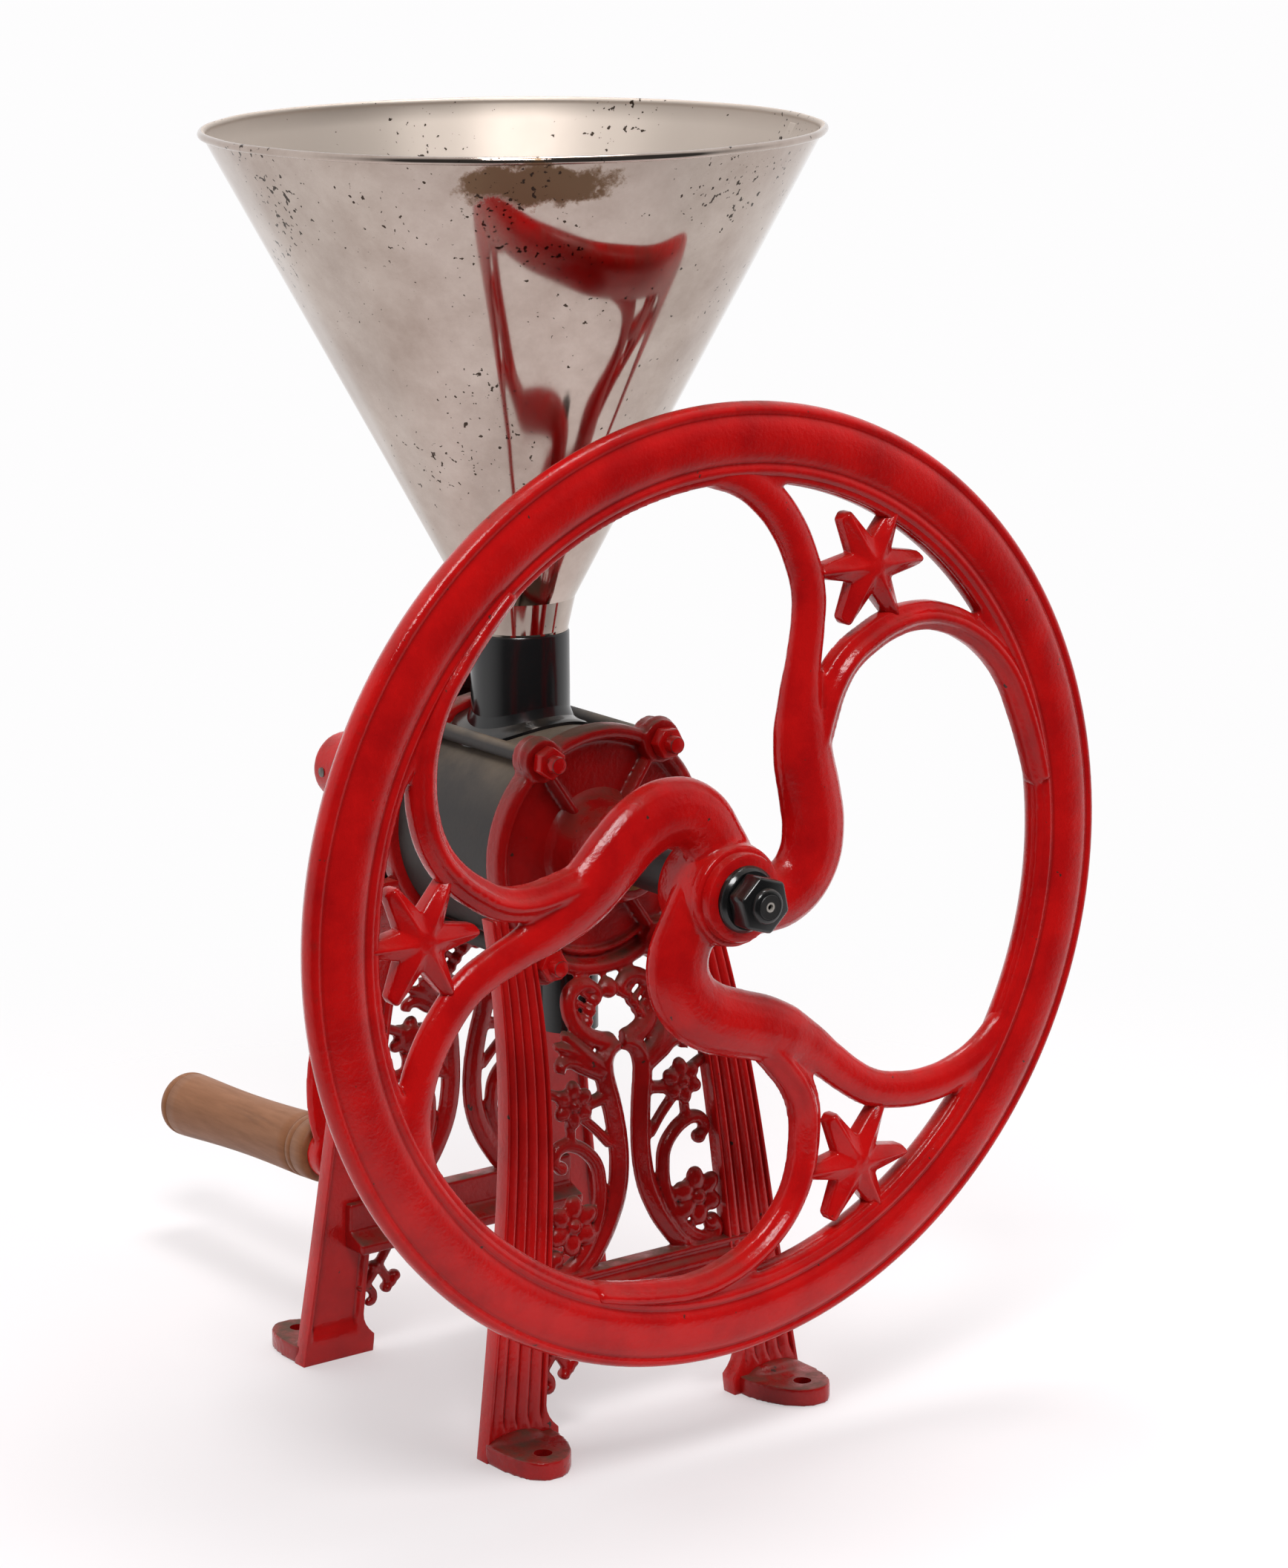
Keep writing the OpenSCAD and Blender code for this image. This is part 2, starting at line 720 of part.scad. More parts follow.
module front_bush() {
  bush(-boss_end, -boss_end + bush_len);
}

module rear_bush() {
  bush(adjust_boss_end - bush_len, adjust_boss_end);
}

module dowels(r, reach) {
  for (k = [0 : 2])
    rotate_about_axis(120 * k + 90)
      rod_y(r, ledge_y - burr_t / 2, ledge_y + reach, dowel_pitch_r, axis_h);
}

module rotate_about_axis(a) {
  translate([0, 0, axis_h])
    rotate([0, -a, 0])
      translate([0, 0, -axis_h])
        children();
}

module burr_grooves_at(y, r0, r1) {
  for (k = [0 : burr_grooves - 1])
    rotate_about_axis(360 / burr_grooves * k)
      translate([r0, y - groove_d, axis_h - 1]) cube([r1 - r0, 2 * groove_d, 2]);
}

module fixed_burr() {
  color(steel)
    difference() {
      rod_y(drum_in_r - fix_gap, -burr_face, ledge_y);
      rod_y(burr_eye_r, -burr_face - 1, ledge_y + 1);
      dowels(dowel_r + fix_gap, 1);
      burr_grooves_at(-burr_face, burr_eye_r - 1, burr_r);
    }
}

module burr_dowels() {
  color(steel) dowels(dowel_r, ledge_t);
}

module turning_burr() {
  color(steel)
    difference() {
      union() {
        rod_y(burr_r, -turn_face - burr_disc_t, -turn_face);
        rod_y(burr_hub_r, -thrust_face, -turn_face);
      }
      rod_y(shaft_r + fix_gap, -thrust_face - 1, -turn_face + 1);
      burr_grooves_at(-turn_face, burr_eye_r, burr_r + 1);
      rod_x(cross_pin_r + fix_gap, -burr_hub_r - 1, burr_hub_r + 1, burr_pin_y(), axis_h);
    }
}

function burr_pin_y() = -mix(turn_face + burr_disc_t, thrust_face, 0.5);

module burr_pin() {
  color(steel) rod_x(cross_pin_r, -burr_hub_r + 0.5, burr_hub_r - 0.5, burr_pin_y(), axis_h);
}

module feed_auger() {
  y1 = -turn_face + auger_len;
  color(steel)
    difference() {
      union() {
        rod_y(auger_sleeve_r, -turn_face, y1);
        translate([0, -turn_face, axis_h])
          rotate([-90, 0, 0])
            linear_extrude(auger_len - 9, twist = -360 * auger_turns, slices = 40)
              translate([0, -2]) square([auger_r, 4]);
      }
      rod_y(shaft_r + fix_gap, -turn_face - 1, y1 + 1);
      rod_x(cross_pin_r + fix_gap, -auger_r - 1, auger_r + 1, y1 - 4.5, axis_h);
    }
}

module auger_pin() {
  color(steel)
    rod_x(cross_pin_r, -auger_sleeve_r + 0.5, auger_sleeve_r - 0.5, -turn_face + auger_len - 4.5, axis_h);
}

module thrust_washer() {
  color(bronze)
    difference() {
      rod_y(burr_hub_r, -thrust_face - thrust_t, -thrust_face);
      rod_y(shaft_r + fix_gap, -thrust_face - thrust_t - 1, -thrust_face + 1);
    }
}

module main_shaft() {
  color(black)
    difference() {
      turned()
        polygon([
          [0, -shaft_tip], [thread_r - 1, -shaft_tip], [thread_r, -shaft_tip + 1], [thread_r, -hub_face + 1],
          [seat_r, -hub_face + 1], [seat_r, -hub_rear], [shaft_r, -hub_rear], [shaft_r, crank_y],
          [seat_r, crank_y], [seat_r, crank_end + 1], [seat_r - 1, crank_end + 2], [0, crank_end + 2]
        ]);
      flywheel_key_box(fix_gap);
      rod_x(cross_pin_r + fix_gap, -shaft_r - 1, shaft_r + 1, burr_pin_y(), axis_h);
      rod_x(cross_pin_r + fix_gap, -shaft_r - 1, shaft_r + 1, -turn_face + auger_len - 4.5, axis_h);
      rod_x(cross_pin_r + fix_gap, -shaft_r - 1, shaft_r + 1, mix(crank_y, crank_end, 0.75), axis_h);
      rod_y(1.5, -shaft_tip - 1, -shaft_tip + 4);
    }
}

module adjusting_wheel() {
  mid = adjust_y + adjust_len / 2;
  color(black)
    difference() {
      union() {
        turned()
          polygon([
            [adjust_boss_r + run_gap, adjust_y], [adjust_hub_r, adjust_y],
            [adjust_hub_r, mid - adjust_web / 2], [adjust_r - adjust_rim_w, mid - adjust_web / 2],
            [adjust_r - adjust_rim_w, mid - adjust_t / 2], [adjust_r, mid - adjust_t / 2],
            [adjust_r, mid + adjust_t / 2], [adjust_r - adjust_rim_w, mid + adjust_t / 2],
            [adjust_r - adjust_rim_w, mid + adjust_web / 2], [adjust_hub_r, mid + adjust_web / 2],
            [adjust_hub_r, adjust_boss_end], [adjust_boss_r + run_gap, adjust_boss_end]
          ]);
      }
      for (k = [0 : adjust_notches - 1])
        rotate_about_axis(360 / adjust_notches * k)
          rod_y(3, mid - adjust_t, mid + adjust_t, adjust_r + 1.5);
    }
}

module shaft_collar() {
  color(steel)
    difference() {
      rod_y(collar_r, collar_y, collar_y + collar_t);
      rod_y(shaft_r + fix_gap, collar_y - 1, collar_y + collar_t + 1);
      translate([0, collar_y + collar_t / 2, axis_h]) cylinder(r = set_screw_r + fix_gap, h = collar_r + 1);
    }
}

module collar_set_screw() {
  color(black)
    translate([0, collar_y + collar_t / 2, axis_h + shaft_r])
      difference() {
        cylinder(r = set_screw_r, h = collar_r - shaft_r);
        translate([-set_screw_r - 1, -0.5, collar_r - shaft_r - 1.5]) cube([2 * set_screw_r + 2, 1, 3]);
      }
}

// One spoke with its two branches and star, in the plane of the wheel
module spoke_stem_outline() {
  translate(elbow_at * rim_in_r) circle(elbow_r);
  translate([0, -hub_r]) square([elbow_at[0] * rim_in_r, hub_r]);
  strand(stem * rim_in_r, stem_w, stem_w * 0.94);
}

module spoke_branch_outline() {
  strand(branch * rim_in_r, branch_w * 1.3, branch_w);
  strand(arch * rim_in_r, arch_w * 1.2, arch_w);
}

module star_outline() {
  translate(star_at * rim_in_r)
    polygon([
      for (k = [0 : 11])
        (k % 2 == 0 ? star_r : star_in_r) * [cos(30 * k), sin(30 * k)]
    ]);
}

module wheel_layer(t) {
  translate([0, 0, axis_h])
    along_y(-wheel_y - t / 2, -wheel_y + t / 2)
      children();
}

module flywheel() {
  half = rim_t / 2;
  y = -wheel_y;
  color(red)
    difference() {
      union() {
        turned()
          polygon([
            [rim_in_r, y + half - 5], [rim_in_r + 4, y + half], [wheel_r - 5, y + half],
            [wheel_r, y + half - 5], [wheel_r, y - half + 5], [wheel_r - 3, y - half + 1.5],
            [wheel_r - 5, y - half + 1.5], [wheel_r - 5, y - half + rim_groove + 1.5],
            [wheel_r - 7, y - half + rim_groove], [wheel_r - 12, y - half + 0.5],
            [wheel_r - rim_w / 2, y - half], [rim_in_r + 12, y - half + 0.5],
            [rim_in_r + 8, y - half + rim_groove], [rim_in_r + 4, y - half + rim_groove + 1.5],
            [rim_in_r, y - half + 6]
          ]);
        turned()
          polygon([
            [seat_r + fix_gap, -hub_face], [hub_r - 4, -hub_face], [hub_r - 3, -hub_face + 1],
            [hub_r - 3, -hub_face + 5], [hub_r, -hub_face + 6], [hub_r, -hub_rear - 1],
            [hub_r - 1, -hub_rear], [seat_r + fix_gap, -hub_rear]
          ]);
        difference() {
          union()
            for (k = [0 : spokes - 1])
              rotate_about_axis(360 / spokes * k) {
                wheel_layer(stem_t) spoke_stem_outline();
                wheel_layer(branch_t) spoke_branch_outline();
                wheel_layer(star_t) star_outline();
              }
          rod_y(seat_r + fix_gap, -hub_face - 1, -hub_rear + 1);
        }
      }
      flywheel_key_box(fix_gap);
    }
}

module flywheel_key_box(gap) {
  w = key_w + 2 * gap;
  translate([-w / 2, -wheel_y - key_len / 2 - gap, axis_h + seat_r - w / 2])
    cube([w, key_len + 2 * gap, w]);
}

module flywheel_key() {
  color(steel) flywheel_key_box(0);
}

module flywheel_washer() {
  color(black)
    difference() {
      rod_y(washer_r, -nut_y, -hub_face);
      rod_y(thread_r + fix_gap, -nut_y - 1, -hub_face + 1);
    }
}

module flywheel_nut() {
  color(black)
    difference() {
      hex_y(nut_af, -nut_y - nut_t, -nut_y);
      rod_y(thread_r + fix_gap, -nut_y - nut_t - 1, -nut_y + 1);
    }
}

module arm_outline() {
  rotate(-90 - crank_lean)
    strand(crank_line * crank_r, arm_w_hub, arm_w_pin);
}

// Tips the grip and its pin about the root of the pin
module on_grip() {
  translate([grip_x, arm_y, grip_z])
    rotate([-grip_tilt, 0, 0])
      translate([-grip_x, -arm_y, -grip_z])
        children();
}

module crank_arm() {
  color(red)
    difference() {
      union() {
        rod_y(crank_hub_r, crank_y, crank_end);
        translate([0, 0, axis_h])
          along_y(arm_y, arm_y + arm_t)
            arm_outline();
        on_grip() rod_y(eye_r, arm_y, eye_face, grip_x, grip_z);
      }
      rod_y(seat_r + fix_gap, crank_y - 1, crank_end + 1);
      on_grip() rod_y(pin_r + fix_gap, arm_y - 2, eye_face + 1, grip_x, grip_z);
      rod_x(cross_pin_r + fix_gap, -crank_hub_r - 1, crank_hub_r + 1, mix(crank_y, crank_end, 0.75), axis_h);
    }
}

module crank_cross_pin() {
  color(steel)
    rod_x(cross_pin_r, -crank_hub_r - 0.5, crank_hub_r + 0.5, mix(crank_y, crank_end, 0.75), axis_h);
}

module grip_pin() {
  head_end = head_y + pin_head_t;
  color(steel)
    on_grip()
      turned(grip_x, grip_z)
        polygon([
          [0, arm_y], [pin_r, arm_y], [pin_r, head_y], [pin_head_r, head_y],
          [pin_head_r, head_end - 1], [pin_head_r - 1.5, head_end], [0, head_end]
        ]);
}

function groove_at(r, y) = [[r, y], [r - grip_cut, y + grip_cut], [r, y + 2 * grip_cut]];

// Turned wood: two grooves by the crank, a slight waist, one groove and a rounded end
module wooden_grip() {
  near = grip_y + grip_band;
  rings_end = near + 7 * grip_cut;
  far = grip_end - grip_band;
  waist = [
    for (k = [1 : 8])
      let (t = k / 9)
      [mix(grip_neck_r, grip_r, t) - grip_waist * sin(180 * t), mix(rings_end, far, t)]
  ];
  dome = [
    for (k = [0 : 4])
      [grip_r - grip_dome * (1 - cos(22.5 * k)), grip_end - grip_dome * (1 - sin(22.5 * k))]
  ];
  bore = pin_r + run_gap;
  color(wood)
    on_grip()
      turned(grip_x, grip_z)
        polygon(concat(
          [[bore, grip_y], [grip_neck_r - 2 * grip_cut, grip_y], [grip_neck_r, grip_y + 2 * grip_cut]],
          groove_at(grip_neck_r, near), groove_at(grip_neck_r, near + 5 * grip_cut),
          waist, groove_at(grip_r, far), dome,
          [[bore, grip_end]]
        ));
}

module funnel_cone() {
  bead_x = funnel_r - bead_r;
  color(tin)
    turned_up()
      difference() {
        union() {
          polygon([
            [seam_r - funnel_wall, seam_z], [seam_r, seam_z], [bead_x + funnel_wall, rim_z - bead_r],
            [bead_x - 0.2, rim_z - bead_r]
          ]);
          translate([bead_x, rim_z - bead_r]) circle(bead_r);
        }
        translate([bead_x, rim_z - bead_r]) circle(wire_r + fix_gap);
      }
}

module turned_up() {
  translate([0, neck_y, 0])
    rotate_extrude()
      children();
}

module funnel_rim_wire() {
  color(steel)
    turned_up()
      translate([funnel_r - bead_r, rim_z - bead_r]) circle(wire_r);
}

module funnel_collar() {
  color(tin)
    turned_up()
      polygon([
        [seam_r - funnel_wall, seam_z], [seam_r, seam_z], [neck_r - 0.4, collar_base + 1],
        [neck_r - 0.4, collar_base], [spigot_r, collar_base], [spigot_r, neck_top - spigot_h],
        [spigot_r - funnel_wall, neck_top - spigot_h], [spigot_r - funnel_wall, collar_base + 1]
      ]);
}

front_frame();
rear_frame();
tie_rods();
front_tie_nuts();
rear_tie_nuts();
drum_shell();
neck_tube();
outlet_spout();
front_bush();
rear_bush();
fixed_burr();
burr_dowels();
turning_burr();
burr_pin();
feed_auger();
auger_pin();
thrust_washer();
main_shaft();
adjusting_wheel();
shaft_collar();
collar_set_screw();
flywheel();
flywheel_key();
flywheel_washer();
flywheel_nut();
crank_arm();
crank_cross_pin();
grip_pin();
wooden_grip();
funnel_cone();
funnel_rim_wire();
funnel_collar();
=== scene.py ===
import json
import math

import bpy
from mathutils import Matrix, Vector


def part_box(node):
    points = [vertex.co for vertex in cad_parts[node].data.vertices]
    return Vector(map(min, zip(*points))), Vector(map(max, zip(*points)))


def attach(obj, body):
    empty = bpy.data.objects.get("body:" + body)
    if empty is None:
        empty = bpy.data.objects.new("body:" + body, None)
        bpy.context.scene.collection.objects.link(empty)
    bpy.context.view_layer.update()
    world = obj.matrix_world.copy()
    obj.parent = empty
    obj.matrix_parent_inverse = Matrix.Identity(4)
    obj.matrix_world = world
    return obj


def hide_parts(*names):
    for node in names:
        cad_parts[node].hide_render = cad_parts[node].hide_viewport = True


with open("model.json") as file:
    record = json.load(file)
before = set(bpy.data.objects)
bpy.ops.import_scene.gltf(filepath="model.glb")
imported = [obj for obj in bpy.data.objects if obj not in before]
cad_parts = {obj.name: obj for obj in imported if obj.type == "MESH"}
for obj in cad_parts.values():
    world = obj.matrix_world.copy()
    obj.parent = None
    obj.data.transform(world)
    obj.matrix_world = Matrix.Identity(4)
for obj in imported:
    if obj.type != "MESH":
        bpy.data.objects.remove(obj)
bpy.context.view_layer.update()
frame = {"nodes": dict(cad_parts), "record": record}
mm = 0.001
print("frame loaded:", len(frame["nodes"]), "nodes")

# main places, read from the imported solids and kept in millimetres
wheelLow, wheelHigh = (Vector(corner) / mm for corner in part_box("flywheel"))
axisZ = (wheelLow.z + wheelHigh.z) / 2
wheelR = (wheelHigh.x - wheelLow.x) / 2
neckLow, neckHigh = (Vector(corner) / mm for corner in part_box("neck_tube"))
neckY = (neckLow.y + neckHigh.y) / 2
drumEnd = Vector(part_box("drum_shell")[1]).y / mm
crank = {"reach": 202.0, "lean": math.radians(7.7), "droop": math.radians(3.7), "armY": 147.0}
gripX = -crank["reach"] * math.sin(crank["lean"])
gripRootZ = axisZ - crank["reach"] * math.cos(crank["lean"])
gripRoot = Vector((gripX, crank["armY"], gripRootZ)) * mm
gripTip = (Matrix.Translation(gripRoot) @ Matrix.Rotation(-crank["droop"], 4, "X")
           @ Matrix.Translation(-gripRoot))  # the grip's outer end hangs a little


def mix(a, b, t):
    return a + (b - a) * t


def ease(t):
    return (1 - math.cos(math.pi * min(max(t, 0), 1))) / 2


def clearSelection():
    if bpy.context.object and bpy.context.object.mode != "OBJECT":
        bpy.ops.object.mode_set(mode="OBJECT")
    bpy.ops.object.select_all(action="DESELECT")


def named(name):
    bpy.context.object.name = name
    return bpy.context.object


def editAll():
    bpy.ops.object.mode_set(mode="EDIT")
    bpy.ops.mesh.select_all(action="SELECT")


def tidyMesh():
    editAll()
    bpy.ops.mesh.remove_doubles(threshold=0.00001)
    bpy.ops.mesh.normals_make_consistent(inside=False)
    bpy.ops.object.mode_set(mode="OBJECT")


def applyModifier(ob, kind, **settings):
    bpy.context.view_layer.objects.active = ob
    bpy.ops.object.modifier_add(type=kind)
    modifier = ob.modifiers[-1]
    for key, value in settings.items():
        setattr(modifier, key, value)
    bpy.ops.object.modifier_apply(modifier=modifier.name)


def applyPlace(ob):
    clearSelection()
    ob.select_set(True)
    bpy.context.view_layer.objects.active = ob
    bpy.ops.object.transform_apply(location=True, rotation=True, scale=True)
    return ob


def lathe(name, profile, steps, centre=(0, 0, axisZ), axis="Y", sharp=40):
    # a chain of points is drawn by extruding, then spun round the shaft's line or another
    def place(point):
        r, along = point
        offset = (r, along, 0) if axis == "Y" else (r, 0, along)
        return (Vector(centre) + Vector(offset)) * mm

    clearSelection()
    bpy.ops.mesh.primitive_plane_add(size=mm)
    ob = named(name)
    editAll()
    bpy.ops.mesh.merge(type="CENTER")
    bpy.ops.transform.translate(value=place(profile[0]))
    for before, after in zip(profile, profile[1:]):
        bpy.ops.mesh.extrude_region_move(TRANSFORM_OT_translate={"value": place(after) - place(before)})
    bpy.ops.mesh.select_all(action="SELECT")
    bpy.ops.mesh.spin(steps=steps, angle=2 * math.pi, center=Vector(centre) * mm,
                      axis=(0, 1, 0) if axis == "Y" else (0, 0, 1))
    tidyMesh()
    bpy.ops.object.shade_smooth_by_angle(angle=math.radians(sharp))
    return ob


def sweep(name, path, radii, flat=1.0, ring=4, steps=6):
    # a round bar along a smooth curve in the XZ plane, flattened front to back
    clearSelection()
    bpy.ops.curve.primitive_bezier_curve_add()
    ob = named(name)
    curve = ob.data
    curve.dimensions = "3D"
    curve.bevel_depth = mm
    curve.bevel_resolution = ring
    curve.resolution_u = steps
    curve.use_fill_caps = True
    knots = curve.splines[0].bezier_points
    knots.add(len(path) - 2)
    for knot, point, radius in zip(knots, path, radii):
        knot.handle_left_type = knot.handle_right_type = "AUTO"
        knot.co = Vector((point[0], 0, point[1])) * mm
        knot.radius = radius
    bpy.ops.object.convert(target="MESH")
    ob = bpy.context.object
    ob.scale.y = flat
    return applyPlace(ob)


def ball(name, place, size):
    clearSelection()
    bpy.ops.mesh.primitive_uv_sphere_add(segments=20, ring_count=12, location=Vector(place) * mm)
    ob = named(name)
    ob.scale = Vector(size) * mm
    return applyPlace(ob)


def post(name, radius, y0, y1, x, z, sides=40):
    # a short bar along Y, round unless it has few sides
    clearSelection()
    bpy.ops.mesh.primitive_cylinder_add(vertices=sides, radius=radius * mm, depth=(y1 - y0) * mm,
                                        location=Vector((x, (y0 + y1) / 2, z)) * mm,
                                        rotation=(math.pi / 2, 0, 0))
    return applyPlace(named(name))


def block(name, low, high):
    clearSelection()
    low, high = Vector(low), Vector(high)
    bpy.ops.mesh.primitive_cube_add(size=1, location=(low + high) / 2 * mm)
    ob = named(name)
    ob.scale = (high - low) * mm
    return applyPlace(ob)


def thicken(ob, back):
    # gives a modelled front face straight sides and a flat back
    far = 40 * mm
    editAll()
    bpy.ops.mesh.extrude_region_move(TRANSFORM_OT_translate={"value": (0, far, 0)})
    bpy.ops.object.mode_set(mode="OBJECT")
    for vertex in ob.data.vertices:
        if vertex.co.y > far / 2:
            vertex.co.y = back * mm
    tidyMesh()


def joinPieces(name, parts):
    clearSelection()
    for part in parts:
        part.select_set(True)
    bpy.context.view_layer.objects.active = parts[0]
    bpy.ops.object.join()
    return named(name)


def castTogether(name, parts, voxel, rounds):
    # joined bars become one casting, with the soft inner corners that a sand mould leaves
    ob = joinPieces(name, parts)
    applyModifier(ob, "REMESH", mode="VOXEL", voxel_size=voxel * mm)
    applyModifier(ob, "SMOOTH", factor=0.5, iterations=rounds)
    bpy.ops.object.shade_smooth()
    return ob


def copyTurned(ob, matrix):
    clearSelection()
    ob.select_set(True)
    bpy.context.view_layer.objects.active = ob
    bpy.ops.object.duplicate()
    twin = bpy.context.object
    twin.data.transform(matrix)
    return twin


def shiftY(ob, y):
    ob.data.transform(Matrix.Translation((0, y * mm, 0)))


def aboutAxis(degrees, x=0, z=None):
    # turns the way the wheel is seen to turn from the front, anticlockwise
    centre = Vector((x, 0, axisZ if z is None else z)) * mm
    return (Matrix.Translation(centre) @ Matrix.Rotation(math.radians(-degrees), 4, "Y")
            @ Matrix.Translation(-centre))


def dress(ob, material, slot, body, *nodes):
    ob.data.materials.clear()
    ob.data.materials.append(material)
    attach(ob, body)
    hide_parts(*nodes)


# shared effects, as shader groups

def newGroup(name, inputs, outputs):
    tree = bpy.data.node_groups.new(name, "ShaderNodeTree")
    for label, value in inputs:
        socket = tree.interface.new_socket(label, in_out="INPUT", socket_type="NodeSocketFloat")
        socket.default_value = value
    for label in outputs:
        tree.interface.new_socket(label, in_out="OUTPUT", socket_type="NodeSocketFloat")
    return tree, tree.nodes.new("NodeGroupInput"), tree.nodes.new("NodeGroupOutput")


def wire(tree, *pairs):
    # each pair is an output and an input, and a bare node stands for its first one
    for source, target in pairs:
        tree.links.new(getattr(source, "outputs", [source])[0], getattr(target, "inputs", [target])[0])


def setInputs(node, **values):
    # the labels of a node's inputs are given without their spaces
    for label, value in values.items():
        next(socket for socket in node.inputs if socket.name.replace(" ", "") == label).default_value = value
    return node


def newNode(tree, kind, **values):
    return setInputs(tree.nodes.new("ShaderNode" + kind), **values)


def noiseNode(tree, scale, detail, rough):
    return newNode(tree, "TexNoise", Scale=scale, Detail=detail, Roughness=rough)


def rampNode(tree, low, high, least=0.0, most=1.0):
    return newNode(tree, "MapRange", FromMin=low, FromMax=high, ToMin=least, ToMax=most)


def mathNode(tree, operation, second=None, kind="Math"):
    node = newNode(tree, kind)
    node.operation = operation
    if second is not None:
        node.inputs[1].default_value = second
    return node


def vectorNode(tree, operation, second=None):
    return mathNode(tree, operation, second, "VectorMath")


def spotMask(tree, inside, outside, where, noise, spots):
    # keeps the spots of a noise that lie where another mask allows, at the group's own scale and amount
    coords, both, scaled = newNode(tree, "TexCoord"), mathNode(tree, "MULTIPLY"), mathNode(tree, "MULTIPLY")
    scaled.use_clamp = True
    wire(tree, (coords.outputs["Object"], noise), (inside.outputs["Scale"], noise.inputs["Scale"]),
         (noise, spots), (where, both), (spots, both.inputs[1]), (both, scaled),
         (inside.outputs["Amount"], scaled.inputs[1]), (scaled, outside.inputs["Mask"]))


def dustGroup():
    tree, inside, outside = newGroup("restingDust", [("Amount", 0.5), ("Scale", 30.0)], ["Mask"])
    split, upward = newNode(tree, "SeparateXYZ"), rampNode(tree, 0.35, 0.95)
    wire(tree, (newNode(tree, "TexCoord").outputs["Normal"], split), (split.outputs["Z"], upward))
    spotMask(tree, inside, outside, upward, noiseNode(tree, 30.0, 6.0, 0.65), rampNode(tree, 0.35, 0.7))
    return tree


def wearAndShadeGroup():
    tree, inside, outside = newGroup("edgeWearAndShade", [("Amount", 0.5), ("Scale", 120.0)], ["Mask", "Groove"])
    # Mask marks chipped wear on the ridges; Groove marks the hollows, which the materials darken as painted
    # shade
    bend = newNode(tree, "NewGeometry").outputs["Pointiness"]
    ridge, hollow = rampNode(tree, 0.52, 0.60), rampNode(tree, 0.49, 0.42)
    wire(tree, (bend, ridge), (bend, hollow), (hollow, outside.inputs["Groove"]))
    spotMask(tree, inside, outside, ridge, noiseNode(tree, 120.0, 6.0, 0.7), rampNode(tree, 0.55, 0.68))
    return tree


def skinGroup():
    tree, inside, outside = newGroup("castSkin", [("Fine", 500.0), ("Broad", 60.0)], ["Height", "Blotch"])
    place = newNode(tree, "TexCoord").outputs["Object"]
    fine, broad = noiseNode(tree, 500.0, 3.0, 0.6), noiseNode(tree, 60.0, 4.0, 0.6)
    less, total = mathNode(tree, "MULTIPLY", 0.5), mathNode(tree, "ADD")
    wire(tree, (place, fine), (place, broad), (inside.outputs["Fine"], fine.inputs["Scale"]),
         (inside.outputs["Broad"], broad.inputs["Scale"]), (fine, less), (less, total),
         (broad, total.inputs[1]), (total, outside.inputs["Height"]), (broad, outside.inputs["Blotch"]))
    return tree


restingDust, edgeWearAndShade, castSkin = dustGroup(), wearAndShadeGroup(), skinGroup()


def newMaterial(name, **values):
    material = bpy.data.materials.new(name)
    material.use_nodes = True
    tree = material.node_tree
    return material, tree, setInputs(tree.nodes["Principled BSDF"], **values)


def useGroup(tree, group, **values):
    node = newNode(tree, "Group")
    node.node_tree = group
    return setInputs(node, **values)


def mixColour(tree, mask, under, over):
    # under and over are colours or the sockets that give them
    node = newNode(tree, "Mix")
    node.data_type = "RGBA"
    tree.links.new(mask, node.inputs["Factor"])
    for socket, value in ((node.inputs[6], under), (node.inputs[7], over)):
        if isinstance(value, tuple):
            socket.default_value = (*value, 1)
        else:
            tree.links.new(value, socket)
    return node.outputs[2]


def through(tree, source, low, high, least=0.0, most=1.0):
    # a value spread from one range to another
    ramp = rampNode(tree, low, high, least, most)
    wire(tree, (source, ramp))
    return ramp.outputs[0]


def finishLook(tree, shader, colour, rough, height, strength, distance):
    bump = newNode(tree, "Bump", Strength=strength, Distance=distance)
    wire(tree, (colour, shader.inputs["Base Color"]), (height, bump.inputs["Height"]),
         (bump, shader.inputs["Normal"]))
    if rough is not None:
        wire(tree, (rough, shader.inputs["Roughness"]))


def redEnamel(name, look):
    material, tree, shader = newMaterial(name, SpecularIORLevel=look["specular"])
    skin = useGroup(tree, castSkin, Fine=430.0, Broad=38.0)
    dust = useGroup(tree, restingDust, Amount=look["dustAmount"], Scale=45.0).outputs["Mask"]
    wearAndShade = useGroup(tree, edgeWearAndShade, Amount=0.9, Scale=170.0)
    # painted shade, partly grime: the grooves and hollows darken towards the shade colour
    grime, pits = mathNode(tree, "MULTIPLY", look["grime"]), noiseNode(tree, 130.0, 3.0, 0.6)
    wire(tree, (wearAndShade.outputs["Groove"], grime), (newNode(tree, "TexCoord").outputs["Object"], pits))
    bare = through(tree, pits, 0.715, 0.735)  # a few chips through the paint
    colour = mixColour(tree, through(tree, skin.outputs["Blotch"], 0.40, 0.72), look["paint"], look["deep"])
    layers = [(grime.outputs[0], "shade"), (dust, "dust"), (wearAndShade.outputs["Mask"], "chip"), (bare, "chip")]
    for mask, tone in layers:
        colour = mixColour(tree, mask, colour, look[tone])
    rough = through(tree, dust, 0.0, 1.0, look["rough"], 0.7)
    finishLook(tree, shader, colour, rough, skin.outputs["Height"], look["bump"], 0.0010)
    return material


def blackEnamel():
    material, tree, shader = newMaterial("black_enamel")
    skin = useGroup(tree, castSkin, Fine=300.0, Broad=30.0)
    dust = useGroup(tree, restingDust, Amount=0.5, Scale=50.0)
    colour = mixColour(tree, dust.outputs["Mask"], (0.006, 0.006, 0.0065), (0.10, 0.075, 0.055))
    rough = through(tree, skin.outputs["Blotch"], 0.3, 0.8, 0.12, 0.30)
    finishLook(tree, shader, colour, rough, skin.outputs["Height"], 0.12, 0.0004)
    return material


